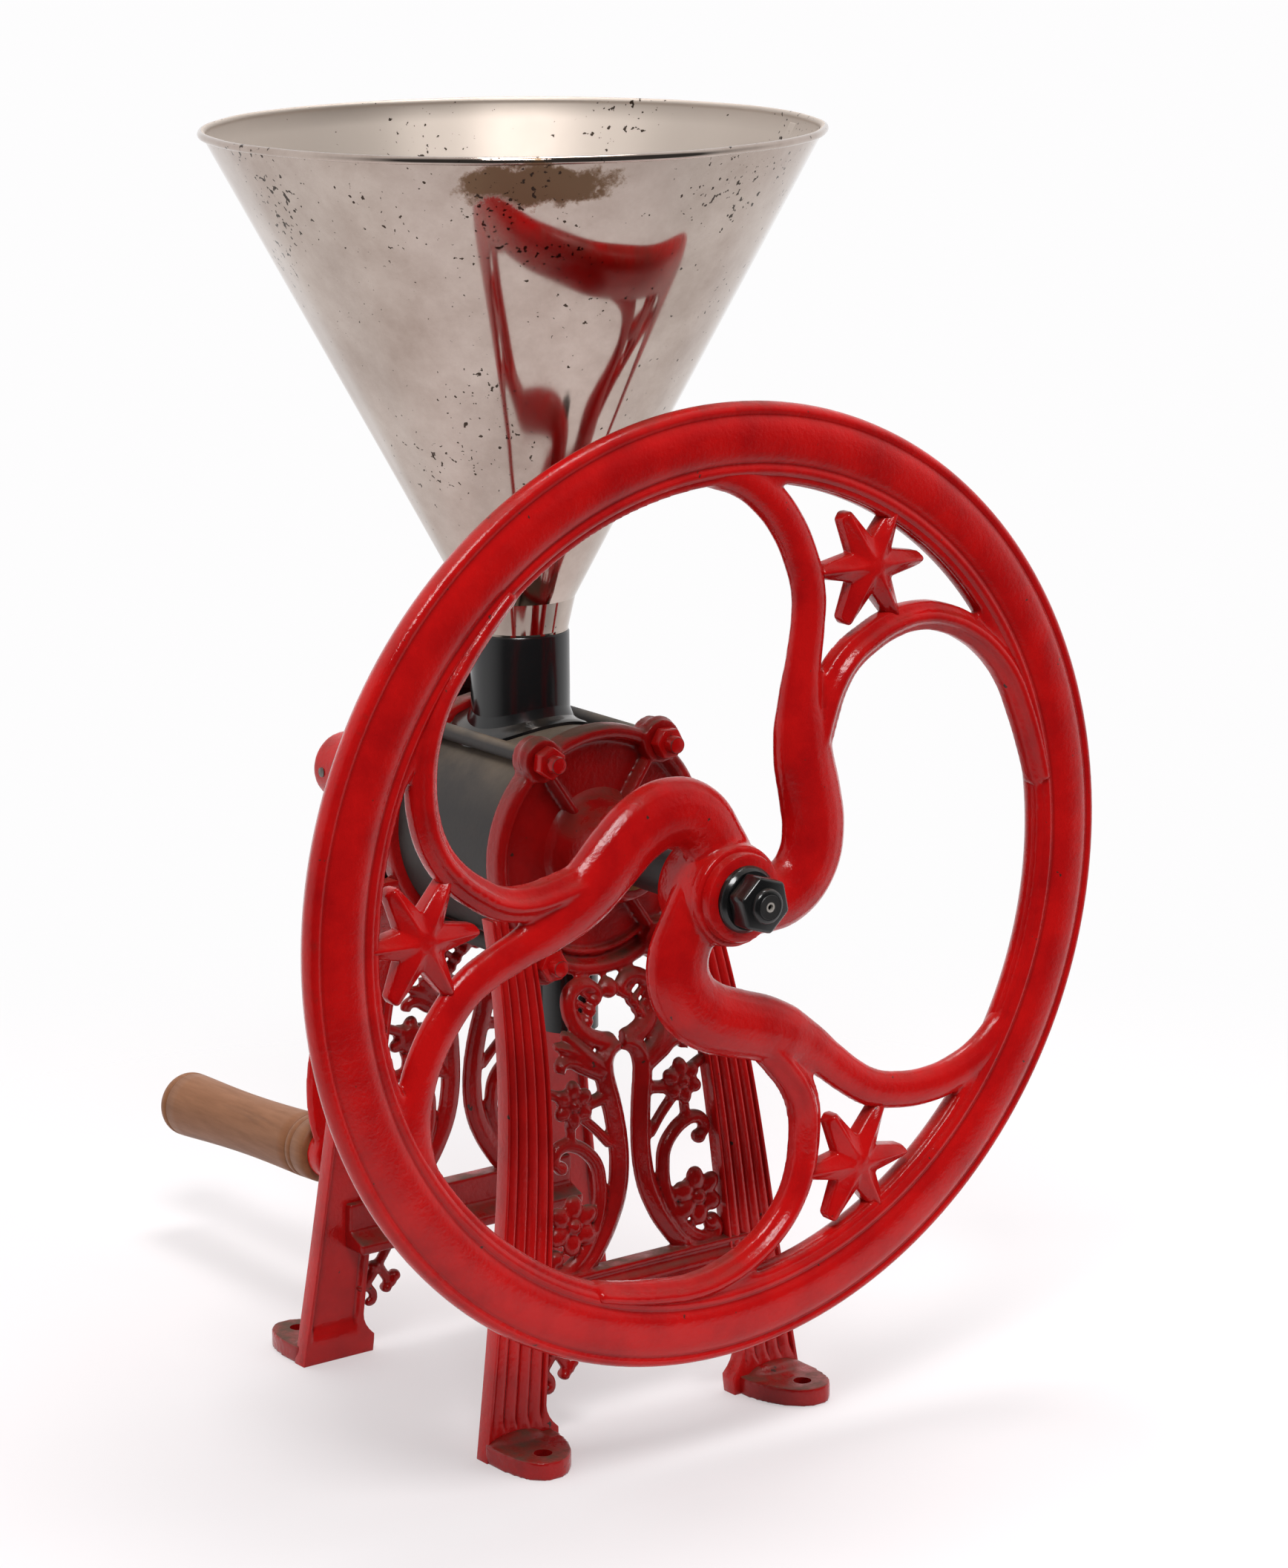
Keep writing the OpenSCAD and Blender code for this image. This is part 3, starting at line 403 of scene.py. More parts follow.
def dullIron():
    material, tree, shader = newMaterial("dull_iron", SpecularIORLevel=0.3)
    skin = useGroup(tree, castSkin, Fine=380.0, Broad=55.0)
    dust = useGroup(tree, restingDust, Amount=1.2, Scale=18.0)
    blotch = through(tree, skin.outputs["Blotch"], 0.3, 0.75)
    colour = mixColour(tree, blotch, (0.025, 0.022, 0.021), (0.046, 0.041, 0.038))
    colour = mixColour(tree, dust.outputs["Mask"], colour, (0.15, 0.115, 0.082))
    rough = through(tree, skin.outputs["Blotch"], 0.3, 0.8, 0.46, 0.70)
    finishLook(tree, shader, colour, rough, skin.outputs["Height"], 0.3, 0.0005)
    return material


def darkSteel(name="dark_steel", bright=(0.30, 0.29, 0.28), dark=(0.10, 0.085, 0.075)):
    material, tree, shader = newMaterial(name, Metallic=1.0)
    skin = useGroup(tree, castSkin, Fine=600.0, Broad=120.0)
    colour = mixColour(tree, through(tree, skin.outputs["Blotch"], 0.35, 0.7), bright, dark)
    rough = through(tree, skin.outputs["Blotch"], 0.3, 0.8, 0.35, 0.6)
    finishLook(tree, shader, colour, rough, skin.outputs["Height"], 0.15, 0.0003)
    return material


def tinplate():
    look = {"bright": (0.52, 0.44, 0.39), "worn": (0.35, 0.275, 0.235), "inside": (0.50, 0.435, 0.385),
            "stain": (0.22, 0.14, 0.085), "speck": (0.05, 0.036, 0.028)}
    stain = {"at": (-0.0745, -0.107, 0.6125), "turn": (0, 0, -0.638), "size": (0.034, 0.12, 0.011)}
    material, tree, shader = newMaterial("tinplate", Metallic=1.0)
    coords = newNode(tree, "TexCoord")
    cloud, wave = noiseNode(tree, 14.0, 8.0, 0.7), noiseNode(tree, 16.0, 1.0, 0.4)
    spots, clusters = noiseNode(tree, 330.0, 2.0, 0.5), noiseNode(tree, 16.0, 3.0, 0.6)
    ragged = noiseNode(tree, 60.0, 6.0, 0.7)
    for node in (cloud, wave, spots, clusters, ragged):
        wire(tree, (coords.outputs["Object"], node))
    # rust specks keep together in clusters
    often, gather = mathNode(tree, "MULTIPLY", 0.55), mathNode(tree, "ADD")
    wire(tree, (clusters, often), (spots, gather), (often, gather.inputs[1]))
    speck = through(tree, gather, 0.985, 1.015)
    # a wide brown stain below the rim, on the wheel's side
    place = newNode(tree, "Mapping", Location=stain["at"], Rotation=stain["turn"], Scale=stain["size"])
    place.vector_type = "TEXTURE"
    away, uneven = vectorNode(tree, "LENGTH"), mathNode(tree, "MULTIPLY_ADD", 2.2)
    wire(tree, (coords.outputs["Object"], place), (place, away), (ragged, uneven),
         (away.outputs["Value"], uneven.inputs[2]))
    rimStain = through(tree, uneven, 2.15, 1.85)
    # the inside is where the surface faces the funnel's middle
    outward, flat = vectorNode(tree, "SUBTRACT", (0, neckY * mm, 0)), vectorNode(tree, "MULTIPLY", (1, 1, 0))
    facing = vectorNode(tree, "DOT_PRODUCT")
    wire(tree, (coords.outputs["Object"], outward), (coords.outputs["Normal"], flat), (outward, facing),
         (flat, facing.inputs[1]))
    inside = through(tree, facing.outputs["Value"], 0.002, -0.002)
    colour = mixColour(tree, through(tree, cloud, 0.35, 0.7), look["bright"], look["worn"])
    for mask, tone in ((inside, "inside"), (rimStain, "stain"), (speck, "speck")):
        colour = mixColour(tree, mask, colour, look[tone])
    duller, dirty = mathNode(tree, "MULTIPLY_ADD", 0.52), mathNode(tree, "MULTIPLY_ADD", 0.35)
    wire(tree, (inside, duller), (through(tree, cloud, 0.3, 0.75, 0.035, 0.11), duller.inputs[2]),
         (rimStain, dirty), (duller, dirty.inputs[2]))
    finishLook(tree, shader, colour, dirty, wave, 0.2, 0.002)
    return material


def turnedWood():
    look = {"light": (0.24, 0.10, 0.043), "dark": (0.165, 0.065, 0.027), "grime": (0.045, 0.02, 0.011)}
    material, tree, shader = newMaterial("turned_wood", SpecularIORLevel=0.25)
    place = newNode(tree, "Mapping", Scale=(1.0, 0.10, 1.0))
    grain, broad = noiseNode(tree, 300.0, 6.0, 0.7), noiseNode(tree, 60.0, 4.0, 0.6)
    wire(tree, (newNode(tree, "TexCoord").outputs["Object"], place), (place, grain), (place, broad))
    wearAndShade = useGroup(tree, edgeWearAndShade, Amount=0.0, Scale=100.0)
    colour = mixColour(tree, through(tree, grain, 0.30, 0.85), look["light"], look["dark"])
    # blotches of real grime, and painted shade in the turned grooves
    for mask in (through(tree, broad, 0.60, 0.90), wearAndShade.outputs["Groove"]):
        colour = mixColour(tree, mask, colour, look["grime"])
    finishLook(tree, shader, colour, through(tree, grain, 0.3, 0.8, 0.45, 0.60), grain, 0.15, 0.0004)
    return material


def shaftEnamel():
    # black like the nut, with a bare steel centre in the wheel end
    look = {"black": (0.010, 0.009, 0.009), "steel": (0.34, 0.31, 0.28), "dotR": 0.0026, "endY": -0.183}
    material, tree, shader = newMaterial("shaft_enamel", Roughness=0.42)
    centre = vectorNode(tree, "DISTANCE", (0, look["endY"] - 0.001, axisZ * mm))
    wire(tree, (newNode(tree, "TexCoord").outputs["Object"], centre))
    bare = through(tree, centre.outputs["Value"], look["dotR"], look["dotR"] * 0.8)
    colour = mixColour(tree, bare, look["black"], look["steel"])
    skin = useGroup(tree, castSkin, Fine=500.0, Broad=90.0)
    finishLook(tree, shader, colour, None, skin.outputs["Height"], 0.25, 0.0004)
    return material


wheelLook = {"paint": (0.48, 0.005, 0.005), "deep": (0.34, 0.003, 0.004), "dust": (0.09, 0.025, 0.015),
             "chip": (0.06, 0.018, 0.014), "shade": (0.09, 0.003, 0.003), "grime": 0.9, "dustAmount": 0.6,
             "specular": 0.26, "rough": 0.14, "bump": 0.42}
standLook = {"paint": (0.47, 0.007, 0.007), "deep": (0.34, 0.005, 0.005), "dust": (0.08, 0.036, 0.022),
             "chip": (0.05, 0.016, 0.012), "shade": (0.04, 0.004, 0.004), "grime": 0.95, "dustAmount": 0.95,
             "specular": 0.32, "rough": 0.19, "bump": 0.5}
# the castings get a darker copy of the stand's paint: grimier, and darker as painted shade from the wheel in
# front of them
castLook = {"paint": (0.31, 0.005, 0.005), "deep": (0.20, 0.004, 0.004), "dust": (0.085, 0.042, 0.027),
            "chip": (0.05, 0.016, 0.012), "shade": (0.03, 0.004, 0.003), "grime": 1.0, "dustAmount": 1.4,
            "specular": 0.3, "rough": 0.18, "bump": 0.5}
red, redLegs = redEnamel("red_enamel", wheelLook), redEnamel("red_enamel_legs", standLook)
redGrimyShaded = redEnamel("red_enamel_grimy_shaded", castLook)
black, dull = blackEnamel(), dullIron()
steel, bronze = darkSteel(), darkSteel("bush_bronze", (0.42, 0.27, 0.11), (0.22, 0.12, 0.05))
tin, wood = tinplate(), turnedWood()
slotLooks = {"red_paint": red, "black_enamel": black, "dull_drum": dull, "dark_steel": steel,
             "bush_bronze": bronze, "tinplate": tin, "grip_wood": wood}
nodeLooks = {"main_shaft": shaftEnamel(), "tie_rods": dull}
for entry in frame["record"]["subparts"]:
    node = frame["nodes"][entry["node"]]
    node.data.materials.clear()
    node.data.materials.append(nodeLooks.get(entry["node"], slotLooks[entry["material_slot"]]))
print("materials made")


# flywheel: a moulded rim, three forked spokes cast in one, three stars and a turned hub
wheel = {"midY": -145.5, "rimIn": 192.0, "half": 8.0, "hubFront": -165.0, "hubBack": -128.0,
         "stemFlat": 0.66, "branchFlat": 0.85, "beadOut": 6.2, "voxel": 1.3, "seat": 9.6}


def makeFlywheel():
    mid, half, inner = wheel["midY"], wheel["half"], wheel["rimIn"]
    front, back = mid - half, mid + half
    moulding = [(0.3, 6), (1.2, 3.8), (2.6, 2.6), (4.4, 2.4), (5.6, 3.2), (6.6, 2.9), (8.4, 1.5), (12, 0.5),
                (17, 0), (22, 0.2), (26.2, 0.9), (27.8, 2.2), (29, 2.1), (30, 1.3), (31.6, 1.2), (33, 2),
                (34.2, 3.4), (35.6, 4.2)]  # how far in from the edge, and how far behind the front
    moulded = [(wheelR - inset, front + drop) for inset, drop in moulding]
    rim = lathe("flywheelRim", [
        (inner + 5, back), (wheelR - 8, back), (wheelR - 4, back - 0.8), (wheelR - 1.6, back - 3),
        (wheelR - 0.3, back - 6), (wheelR, mid), *moulded, (inner + 0.5, front + 6), (inner, front + 8),
        (inner, back - 5), (inner + 1.5, back - 2), (inner + 5, back)], steps=200, sharp=60)
    stem = [(-6, -9), (20, -9), (40, -6), (52, 6), (55.5, 22), (53.5, 38), (49.5, 57), (48, 72), (47.5, 84),
            (49.5, 103), (52, 120), (52.4, 136), (47.7, 153), (39, 170), (28, 183), (14, 193.5), (-4, 200)]
    stemR = [15, 16, 16.6, 17, 17, 16.8, 16.2, 15, 12.2, 9.8] + [9.4] * 6 + [9]
    arch = [(51, 50), (56, 64), (60.5, 78), (66, 90), (75, 101), (88, 109), (102, 114.5), (118, 116.5),
            (134, 113.5), (150, 106), (164, 95), (176, 80), (184.5, 62), (191, 44), (196, 26)]
    archR = [7, 9.6, 9.8, 9.4, 9, 8.6, 8.4] + [8.2] * 6 + [8, 7.5]
    parts, stars = [], []
    for turn in (0, 120, 240):
        spoke = [sweep("spokeStem", stem, stemR, wheel["stemFlat"], ring=6, steps=8),
                 sweep("spokeArch", arch, archR, wheel["branchFlat"], ring=1, steps=8)]
        bead = sweep("archBead", arch, [r * 0.36 for r in archR], 1.0, ring=2, steps=8)
        shiftY(bead, -wheel["beadOut"])
        spoke.append(bead)
        star = makeStar()
        for piece in spoke + [star]:
            piece.data.transform(Matrix.Translation(Vector((0, mid, axisZ)) * mm))
            piece.data.transform(aboutAxis(turn))
        parts += spoke
        stars.append(star)
    parts.append(lathe("hubCore", [(8, -160), (24, -160), (24.6, -156), (24.6, -136), (22, -130), (8, -130),
                                   (8, -160)], steps=64))
    parts.append(lathe("rimCore", [(inner + 0.8, mid - 5), (inner + 9, mid - 5), (inner + 9, mid + 5),
                                   (inner + 0.8, mid + 5), (inner + 0.8, mid - 5)], steps=160))
    spokes = castTogether("flywheelSpokes", parts, wheel["voxel"], 4)
    starSet = joinPieces("flywheelStars", stars)
    seat, frontY, backY = wheel["seat"], wheel["hubFront"], wheel["hubBack"]
    hub = lathe("flywheelHub", [
        (seat, frontY), (18.5, frontY), (20.6, frontY + 0.6), (21.4, frontY + 2.2), (21.6, frontY + 6),
        (22.6, frontY + 7.4), (24.2, frontY + 8.4), (25, frontY + 11), (25, backY - 4), (24, backY - 1),
        (22, backY), (seat, backY), (seat, frontY)], steps=72)
    for piece in (rim, spokes, starSet, hub):
        dress(piece, red, "red_paint", "drive", "flywheel")
    print("flywheel made:", len(spokes.data.polygons), "faces in the spokes")


def makeStar():
    # six ridged arms: each has a notch, two tip corners and a raised tip between them
    star = {"at": (88.4, 144.5), "tip": 29.4, "point": 1.6, "notch": 13.6, "tipHalf": 3.5, "crown": 8.8,
            "ridge": 5.4, "edge": 2.2, "hollow": 3.2, "back": 4.5}
    clearSelection()
    bpy.ops.mesh.primitive_circle_add(vertices=24, radius=mm, fill_type="TRIFAN",
                                      rotation=(math.pi / 2, 0, 0))
    ob = applyPlace(named("wheelStar"))
    spread = math.degrees(math.atan2(star["tipHalf"], star["tip"]))
    centre = Vector((star["at"][0], 0, star["at"][1]))
    for vertex in ob.data.vertices:
        if vertex.co.length < mm / 2:
            vertex.co = (centre + Vector((0, -star["crown"], 0))) * mm
            continue
        step = round(math.degrees(math.atan2(vertex.co.z, vertex.co.x)) / 15)
        arm = 60 * ((step + 1) // 4)
        angle, radius, rise = {0: (arm, star["tip"] + star["point"], star["ridge"]),
                               1: (arm + spread, star["tip"], star["edge"]),
                               2: (arm + 30, star["notch"], star["hollow"]),
                               3: (arm - spread, star["tip"], star["edge"])}[step % 4]
        turn = math.radians(angle)
        vertex.co = (centre + Vector((radius * math.cos(turn), -rise, radius * math.sin(turn)))) * mm
    thicken(ob, star["back"])
    applyModifier(ob, "BEVEL", width=1.2 * mm, segments=3, limit_method="ANGLE",
                  angle_limit=math.radians(12))
    bpy.ops.object.shade_smooth_by_angle(angle=math.radians(30))
    return ob


makeFlywheel()


# hexagon nuts, with corners taken off
def hexNut(name, flats, y0, y1, x, z, corner):
    ob = post(name, flats / math.sqrt(3), y0, y1, x, z, sides=6)
    applyModifier(ob, "BEVEL", width=corner * mm, segments=3, limit_method="ANGLE")
    bpy.ops.object.shade_smooth_by_angle(angle=math.radians(35))
    return ob


def makeHubNut():
    fit = {"face": -165.0, "washer": 4.0, "nut": 12.0, "flats": 25.0, "washerR": 16.0, "bore": 6.8,
           "capR": 8.6, "capIn": 6.2, "capTop": 7.4}
    wide, bore, face, capIn, capR = (fit[key] for key in ("washerR", "bore", "face", "capIn", "capR"))
    nutY = face - fit["washer"]
    capY = nutY - fit["nut"]
    washer = lathe("hubWasher", [(bore, face), (wide, face), (wide, nutY + 2.4), (wide - 0.8, nutY + 1.2),
                                 (wide - 2, nutY), (bore, nutY), (bore, face)], steps=64)
    dress(washer, black, "black_enamel", "drive", "flywheel_washer")
    nut = hexNut("hubNut", fit["flats"], capY, nutY, 0, axisZ, 1.6)
    nut.data.transform(aboutAxis(12))
    cap = lathe("nutCap", [(capIn, capY), (capR, capY), (capR - 0.3, capY - 1.6),
                           (fit["capTop"], capY - 2.6), (capIn, capY - 2.8)], steps=40)
    dress(joinPieces("hubNut", [nut, cap]), black, "black_enamel", "drive", "flywheel_nut")


makeHubNut()


# stand castings: legs, crossbar, feet, scrollwork and end plate, leaning in to the plate
stand = {"footX": 79.0, "footY": 108.6, "footR": 13.0, "footT": 9.0, "holeR": 4.5, "legT": 9.0, "lowW": 34.0,
         "topW": 21.0, "topX": 54.0, "bow": 2.4, "bendZ": 95.0, "topZ": 256.5, "faceLow": 86.1, "lean": 12.5,
         "curl": 2.6, "topSet": 2.5, "plateFace": 53.5, "barTop": 82.0, "barH": 18.0, "plateR": 62.0,
         "tieX": 35.0, "tieZ": 50.0, "lugR": 11.0, "scrollIn": 6.1, "setBack": 4.0, "setBackZ": 183.0,
         "bushR": 14.1, "voxel": 1.0}
corners = [(sx, sz) for sx in (-1, 1) for sz in (-1, 1)]


def legFace(z):
    rise = min(max(z - stand["bendZ"], 0) / (stand["topZ"] - stand["bendZ"]), 1)
    bend = stand["faceLow"] - stand["lean"] - stand["plateFace"] + stand["topSet"]
    return stand["faceLow"] - stand["lean"] * z / stand["topZ"] - bend * rise ** stand["curl"]


def legX(z):
    t = z / stand["topZ"]
    return mix(stand["footX"], stand["topX"], t) - stand["bow"] * math.sin(math.pi * t)


def leanOut(ob, setBack=0.0):
    # lies the piece against the leaning front of the stand, the top set back towards the plate
    for vertex in ob.data.vertices:
        z = vertex.co.z / mm
        vertex.co.y -= (legFace(z) - setBack * ease((z - stand["setBackZ"]) / 20)) * mm


def reliefPanel(name, columns, rows, shape, depth):
    # a grid whose points are set by shape(s, t), thickened straight back
    clearSelection()
    bpy.ops.mesh.primitive_grid_add(x_subdivisions=columns, y_subdivisions=rows, size=2)
    ob = named(name)
    for vertex in ob.data.vertices:
        vertex.co = Vector(shape(vertex.co.x, (vertex.co.y + 1) / 2)) * mm
    thicken(ob, depth)
    return ob


def makeLeg():
    flute = {"ridges": 4, "depth": 2.6, "border": 0.88, "start": 13.5, "spur": 8.0, "spurTop": 22.0,
             "hollow": 3.8, "hollowLow": 11.0, "hollowHigh": 238.0, "flange": 0.9}

    def shape(s, t):
        z = mix(0, stand["topZ"], t)
        x = legX(z) + s * mix(stand["lowW"], stand["topW"], t) / 2
        if s < 0:
            fade = (flute["spurTop"] - z) / (flute["spurTop"] - stand["footT"])
            edge = max((-s - flute["border"]) / (1 - flute["border"]), 0)
            x -= edge * flute["spur"] * min(max(fade, 0), 1) ** 2
        wave = abs(math.sin(math.pi * flute["ridges"] / 2 * (s / flute["border"] + 1))) ** 0.6
        cut = flute["depth"] * (1 - wave) if abs(s) < flute["border"] else 0
        cut *= ease((z - flute["start"]) / 4)
        return x, cut, z

    leg = reliefPanel("leg", 64, 84, shape, stand["legT"])
    for vertex in leg.data.vertices:  # the back is cast hollow between two flanges
        z = vertex.co.z / mm
        if vertex.co.y > (stand["legT"] - 0.1) * mm:
            s = (vertex.co.x / mm - legX(z)) * 2 / mix(stand["lowW"], stand["topW"], z / stand["topZ"])
            ends = ease((z - flute["hollowLow"]) / 10) * ease((flute["hollowHigh"] - z) / 14)
            vertex.co.y -= flute["hollow"] * ends * ease((flute["flange"] - abs(s)) / 0.16) * mm
    leanOut(leg)
    applyModifier(leg, "BEVEL", width=1.0 * mm, segments=2, limit_method="ANGLE",
                  angle_limit=math.radians(60))
    bpy.ops.object.shade_smooth_by_angle(angle=math.radians(45))
    return leg


def makeCrossbar():
    mould = {"bead": 2.6, "beadFrom": 0.28, "beadShare": 0.44, "lip": 1.2, "lipLow": 0.12, "lipHigh": 0.86}
    span = legX(stand["barTop"])

    def shape(s, t):
        z = stand["barTop"] - stand["barH"] * (1 - t)
        across = min(max((t - mould["beadFrom"]) / mould["beadShare"], 0), 1)
        lip = 0 if mould["lipLow"] <= t <= mould["lipHigh"] else mould["lip"]
        return s * span, -mould["bead"] * math.sin(math.pi * across) - lip + 1.0, z

    bar = reliefPanel("crossbar", 6, 40, shape, stand["legT"] + 0.5)
    ledge = {"deep": 12.0, "top": 69.0, "edge": 63.0, "low": 58.0}  # slopes down behind the bar
    shelf = block("barLedge", (-span, 5, ledge["low"]), (span, stand["legT"] + ledge["deep"], ledge["top"]))
    for vertex in shelf.data.vertices:
        if vertex.co.y > stand["legT"] * mm and vertex.co.z > ledge["edge"] * mm:
            vertex.co.z = ledge["edge"] * mm
    return joinPieces("crossbar", [bar, shelf])


def makeFlower(x, z, radius):
    parts = [ball("flowerBack", (x, 1.6, z), (0.66 * radius, 3.0, 0.66 * radius)),
             ball("flowerEye", (x, -3.6, z), (0.24 * radius, 3.0, 0.24 * radius))]
    for k in range(6):
        angle = math.radians(60 * k + 35)
        out = Vector((math.cos(angle), 0, math.sin(angle)))
        petal = ball("petal", (0, 0, 0), (0.42 * radius, 3.4, 0.34 * radius))
        petal.data.transform(Matrix.Rotation(-angle, 4, "Y"))
        petal.data.transform(Matrix.Translation((Vector((x, -2.0, z)) + out * 0.62 * radius) * mm))
        parts.append(petal)
    return parts


def makeScrolls():
    # one half of the openwork: strands as centre lines with a half width at each point
    main = [(1.5, 189), (6, 187.6), (9.8, 183.6), (11.3, 177.5), (11, 171), (9.6, 164), (8, 154), (6.8, 141),
            (6.9, 130), (9, 117), (13.6, 105.5), (20, 94.8), (28.3, 85), (38, 80.5), (50, 79)]
    inner = [(41.5, 135), (45, 137.4), (44.6, 142), (39.8, 145), (33.2, 144), (26.1, 139.5), (20.6, 132.3),
             (19.2, 123.9), (19.2, 116.7), (21, 108.4), (24.5, 99.7), (30.3, 91.3), (37, 85.2), (45.4, 82.6),
             (50.4, 85), (50, 89.4), (47, 91)]
    volute = [(3.6, 189.6), (11.5, 191.4), (18.6, 195.6), (23.2, 201.4), (24.6, 208), (23.4, 213.2),
              (19.8, 216.6), (14.6, 217.8), (9.8, 216.2), (7, 212.6), (7.6, 209)]
    bars = {
        "main": (main, [4.4, 5.0, 5.2, 5.4] + [5.6] * 8 + [5.4, 5, 4.6]),
        "inner": (inner, [2.8, 3.1, 3.4, 3.6] + [3.7] * 10 + [3.6, 3.4, 3.2]),
        "volute": (volute, [4.4, 4.5, 4.5, 4.4, 4.3, 4.2, 4, 3.8, 3.5, 3.1, 2.6]),
        "lobe": ([(10, 165), (18, 163.5), (27, 162)], [3.6, 3.4, 3.2]),
        "stalk": ([(28, 157.5), (20, 150), (12, 141)], [2.8, 2.7, 2.8]),
        "bud": ([(38, 168.5), (45, 171.5), (52, 174)], [2.8, 2.8, 2.8]),
        "tie": ([(34.6, 156), (34.4, 150), (35, 145)], [2.8, 2.7, 2.8]),
        "leafHigh": ([(13, 178), (20.8, 185), (26.5, 192), (31, 197.5)], [4.8, 4.8, 4, 2.2]),
        "leafMid": ([(15, 178), (24, 185), (31, 190), (37.5, 192.5)], [4.2, 4.4, 3.6, 2]),
        "leafLow": ([(15, 176), (24, 181), (31, 184.4), (36.6, 183.6), (37, 180)], [4, 4.2, 3.6, 3.2, 2.8]),
        "bracket": ([(40, 66), (43.5, 55.5), (48, 48), (53, 41.5), (58, 36), (61.4, 33.2)],
                    [3.4, 2.9, 2.7, 2.9, 3, 2.5]),
        "hook": ([(49, 44), (46, 39.5), (43.2, 35.6)], [2.7, 2.6, 2.8]),
        "tail": ([(58, 36), (54.2, 32.6), (52.4, 29.2), (53.6, 26), (57, 26.4)], [2.8, 2.4, 2.3, 2.3, 2.1]),
    }
    parts = []
    for name, (path, radii) in bars.items():
        depth = {"main": 0.74, "volute": 0.9}.get(name, 1.0)
        parts.append(sweep(name, path, radii, depth, ring=3, steps=6))
    ridged = {"main": 3.2, "inner": 2.6, "volute": 2.6, "leafHigh": 3.2, "leafMid": 3.0, "leafLow": 3.0}
    for name, rise in ridged.items():
        path, radii = bars[name]
        ridge = sweep(name + "Ridge", path, [r * 0.38 for r in radii], 1.0, ring=1, steps=6)
        shiftY(ridge, -rise)
        parts.append(ridge)
    for x, z, radius in ((32.8, 164.5, 11.4), (37.7, 105.7, 14.8)):
        parts += makeFlower(x, z, radius)
    knobs = [(41.6, 134.6, 3.6), (47.4, 90.4, 4.6), (0, 214, 5.2), (39.8, 37.6, 3.2), (45, 31.8, 2.7),
             (42.4, 34.8, 3.2), (52.6, 45.4, 2.8)]
    beads = [(9.6, 209.8, 3.1), (12.8, 205.4, 3.1), (15.2, 200.8, 2.9)]
    for x, z, radius in knobs + beads:
        parts.append(ball("knob", (x, 0, z), (radius, 4.2, radius)))
    for x, z, radius in beads:  # the beads of the volute hang from its inner side
        parts.append(sweep("beadStem", [(x, z), (x + 4.5, z + 3.2), (x + 7, z + 5)], [1.9] * 3, 1.0, ring=1))
    for part in parts:
        shiftY(part, stand["scrollIn"])
        leanOut(part, stand["setBack"])
    return parts


def makeFoot():
    # a round-ended tongue about as wide as the leg, with a soft mound where the leg stands on it
    tongue = {"square": 2.7, "inSquare": 1.9, "inMore": 5.0, "side": 0.4, "moundOut": 7.0, "moundUp": 4.5}
    x, face, thick = stand["footX"], -stand["faceLow"], stand["footT"]
    half = stand["lowW"] / 2 - tongue["side"]
    reach = stand["footY"] + stand["footR"] - stand["faceLow"]
    clearSelection()
    bpy.ops.mesh.primitive_circle_add(vertices=96, radius=1, fill_type="NGON")
    plate = named("footTongue")
    for vertex in plate.data.vertices:
        side, out = vertex.co.x, -vertex.co.y
        power = 2 / tongue["inSquare" if side < 0 else "square"]
        wide = side ** power * half if side > 0 else -(-side) ** power * (half + tongue["inMore"])
        deep = reach * out ** power if out > 0 else (stand["legT"] - 1) * out
        vertex.co = Vector((x + wide, face - deep, 0)) * mm
    editAll()
    bpy.ops.mesh.extrude_region_move(TRANSFORM_OT_translate={"value": (0, 0, thick * mm)})
    tidyMesh()
    mound = ball("footMound", (x, face, thick - 0.5), (half - 1, tongue["moundOut"], tongue["moundUp"]))
    return [plate, mound]


def mirrored(ob, axis):
    twin = copyTurned(ob, Matrix.Scale(-1, 4, axis))
    editAll()
    bpy.ops.mesh.flip_normals()
    bpy.ops.object.mode_set(mode="OBJECT")
    return twin


def makeStandCasting():
    side = joinPieces("standSide", makeScrolls() + makeFoot())
    bar = makeCrossbar()
    leanOut(bar)
    face, edge, radius = -stand["plateFace"], -drumEnd, stand["plateR"]
    plate = lathe("endPlate", [
        (13, edge), (radius - 1, edge), (radius, edge - 1), (radius, face + 2.5), (radius - 1.2, face + 0.7),
        (radius - 3.2, face), (radius - 5.4, face + 0.6), (radius - 6.6, face + 2),
        (radius - 7.2, face + 6.2), (radius - 9, face + 7.4), (30, face + 7), (26, face + 5.5),
        (13, face + 5), (13, edge)], steps=120)
    parts = [side, mirrored(side, (1, 0, 0)), bar, plate]
    lowR = 50.5  # a bead along the lower edge of the plate
    turns = [math.radians(d) for d in range(-32, 33, 8)]
    path = [(lowR * math.sin(a), axisZ - lowR * math.cos(a)) for a in turns]
    low = sweep("lowBead", path, [1.6] * len(path), 1.0, ring=2)
    shiftY(low, face + 6)
    parts.append(low)
    for sx, sz in corners:
        x, z = sx * stand["tieX"], axisZ + sz * stand["tieZ"]
        parts.append(post("tieLug", stand["lugR"] - 0.4, face - 1, edge, x, z))
        parts.append(ball("lugCrown", (x * 1.02, face + 4, axisZ + sz * (stand["tieZ"] + 1)),
                          (stand["lugR"] - 0.2, 5.6, stand["lugR"] - 0.2)))
        ends = [(12 * sx, axisZ + 17 * sz), (x * 0.86, axisZ + 0.86 * sz * stand["tieZ"])]
        rib = sweep("plateRib", ends, [2.4, 2.4], 2.2)
        shiftY(rib, face + 5)
        parts.append(rib)
    return castTogether("frontCasting", parts, stand["voxel"], 2)


def cutHoles(ob):
    clearSelection()
    drills = [post("bushDrill", stand["bushR"] - 0.05, -60, -30, 0, axisZ)]
    for sx in (-1, 1):
        bpy.ops.mesh.primitive_cylinder_add(vertices=40, radius=stand["holeR"] * mm, depth=0.06,
                                            location=Vector((sx * stand["footX"], -stand["footY"], 0)) * mm)
        drills.append(applyPlace(bpy.context.object))
    drill = joinPieces("drill", drills)
    clearSelection()
    ob.select_set(True)
    applyModifier(ob, "BOOLEAN", operation="DIFFERENCE", solver="EXACT", object=drill)
    bpy.data.objects.remove(drill)


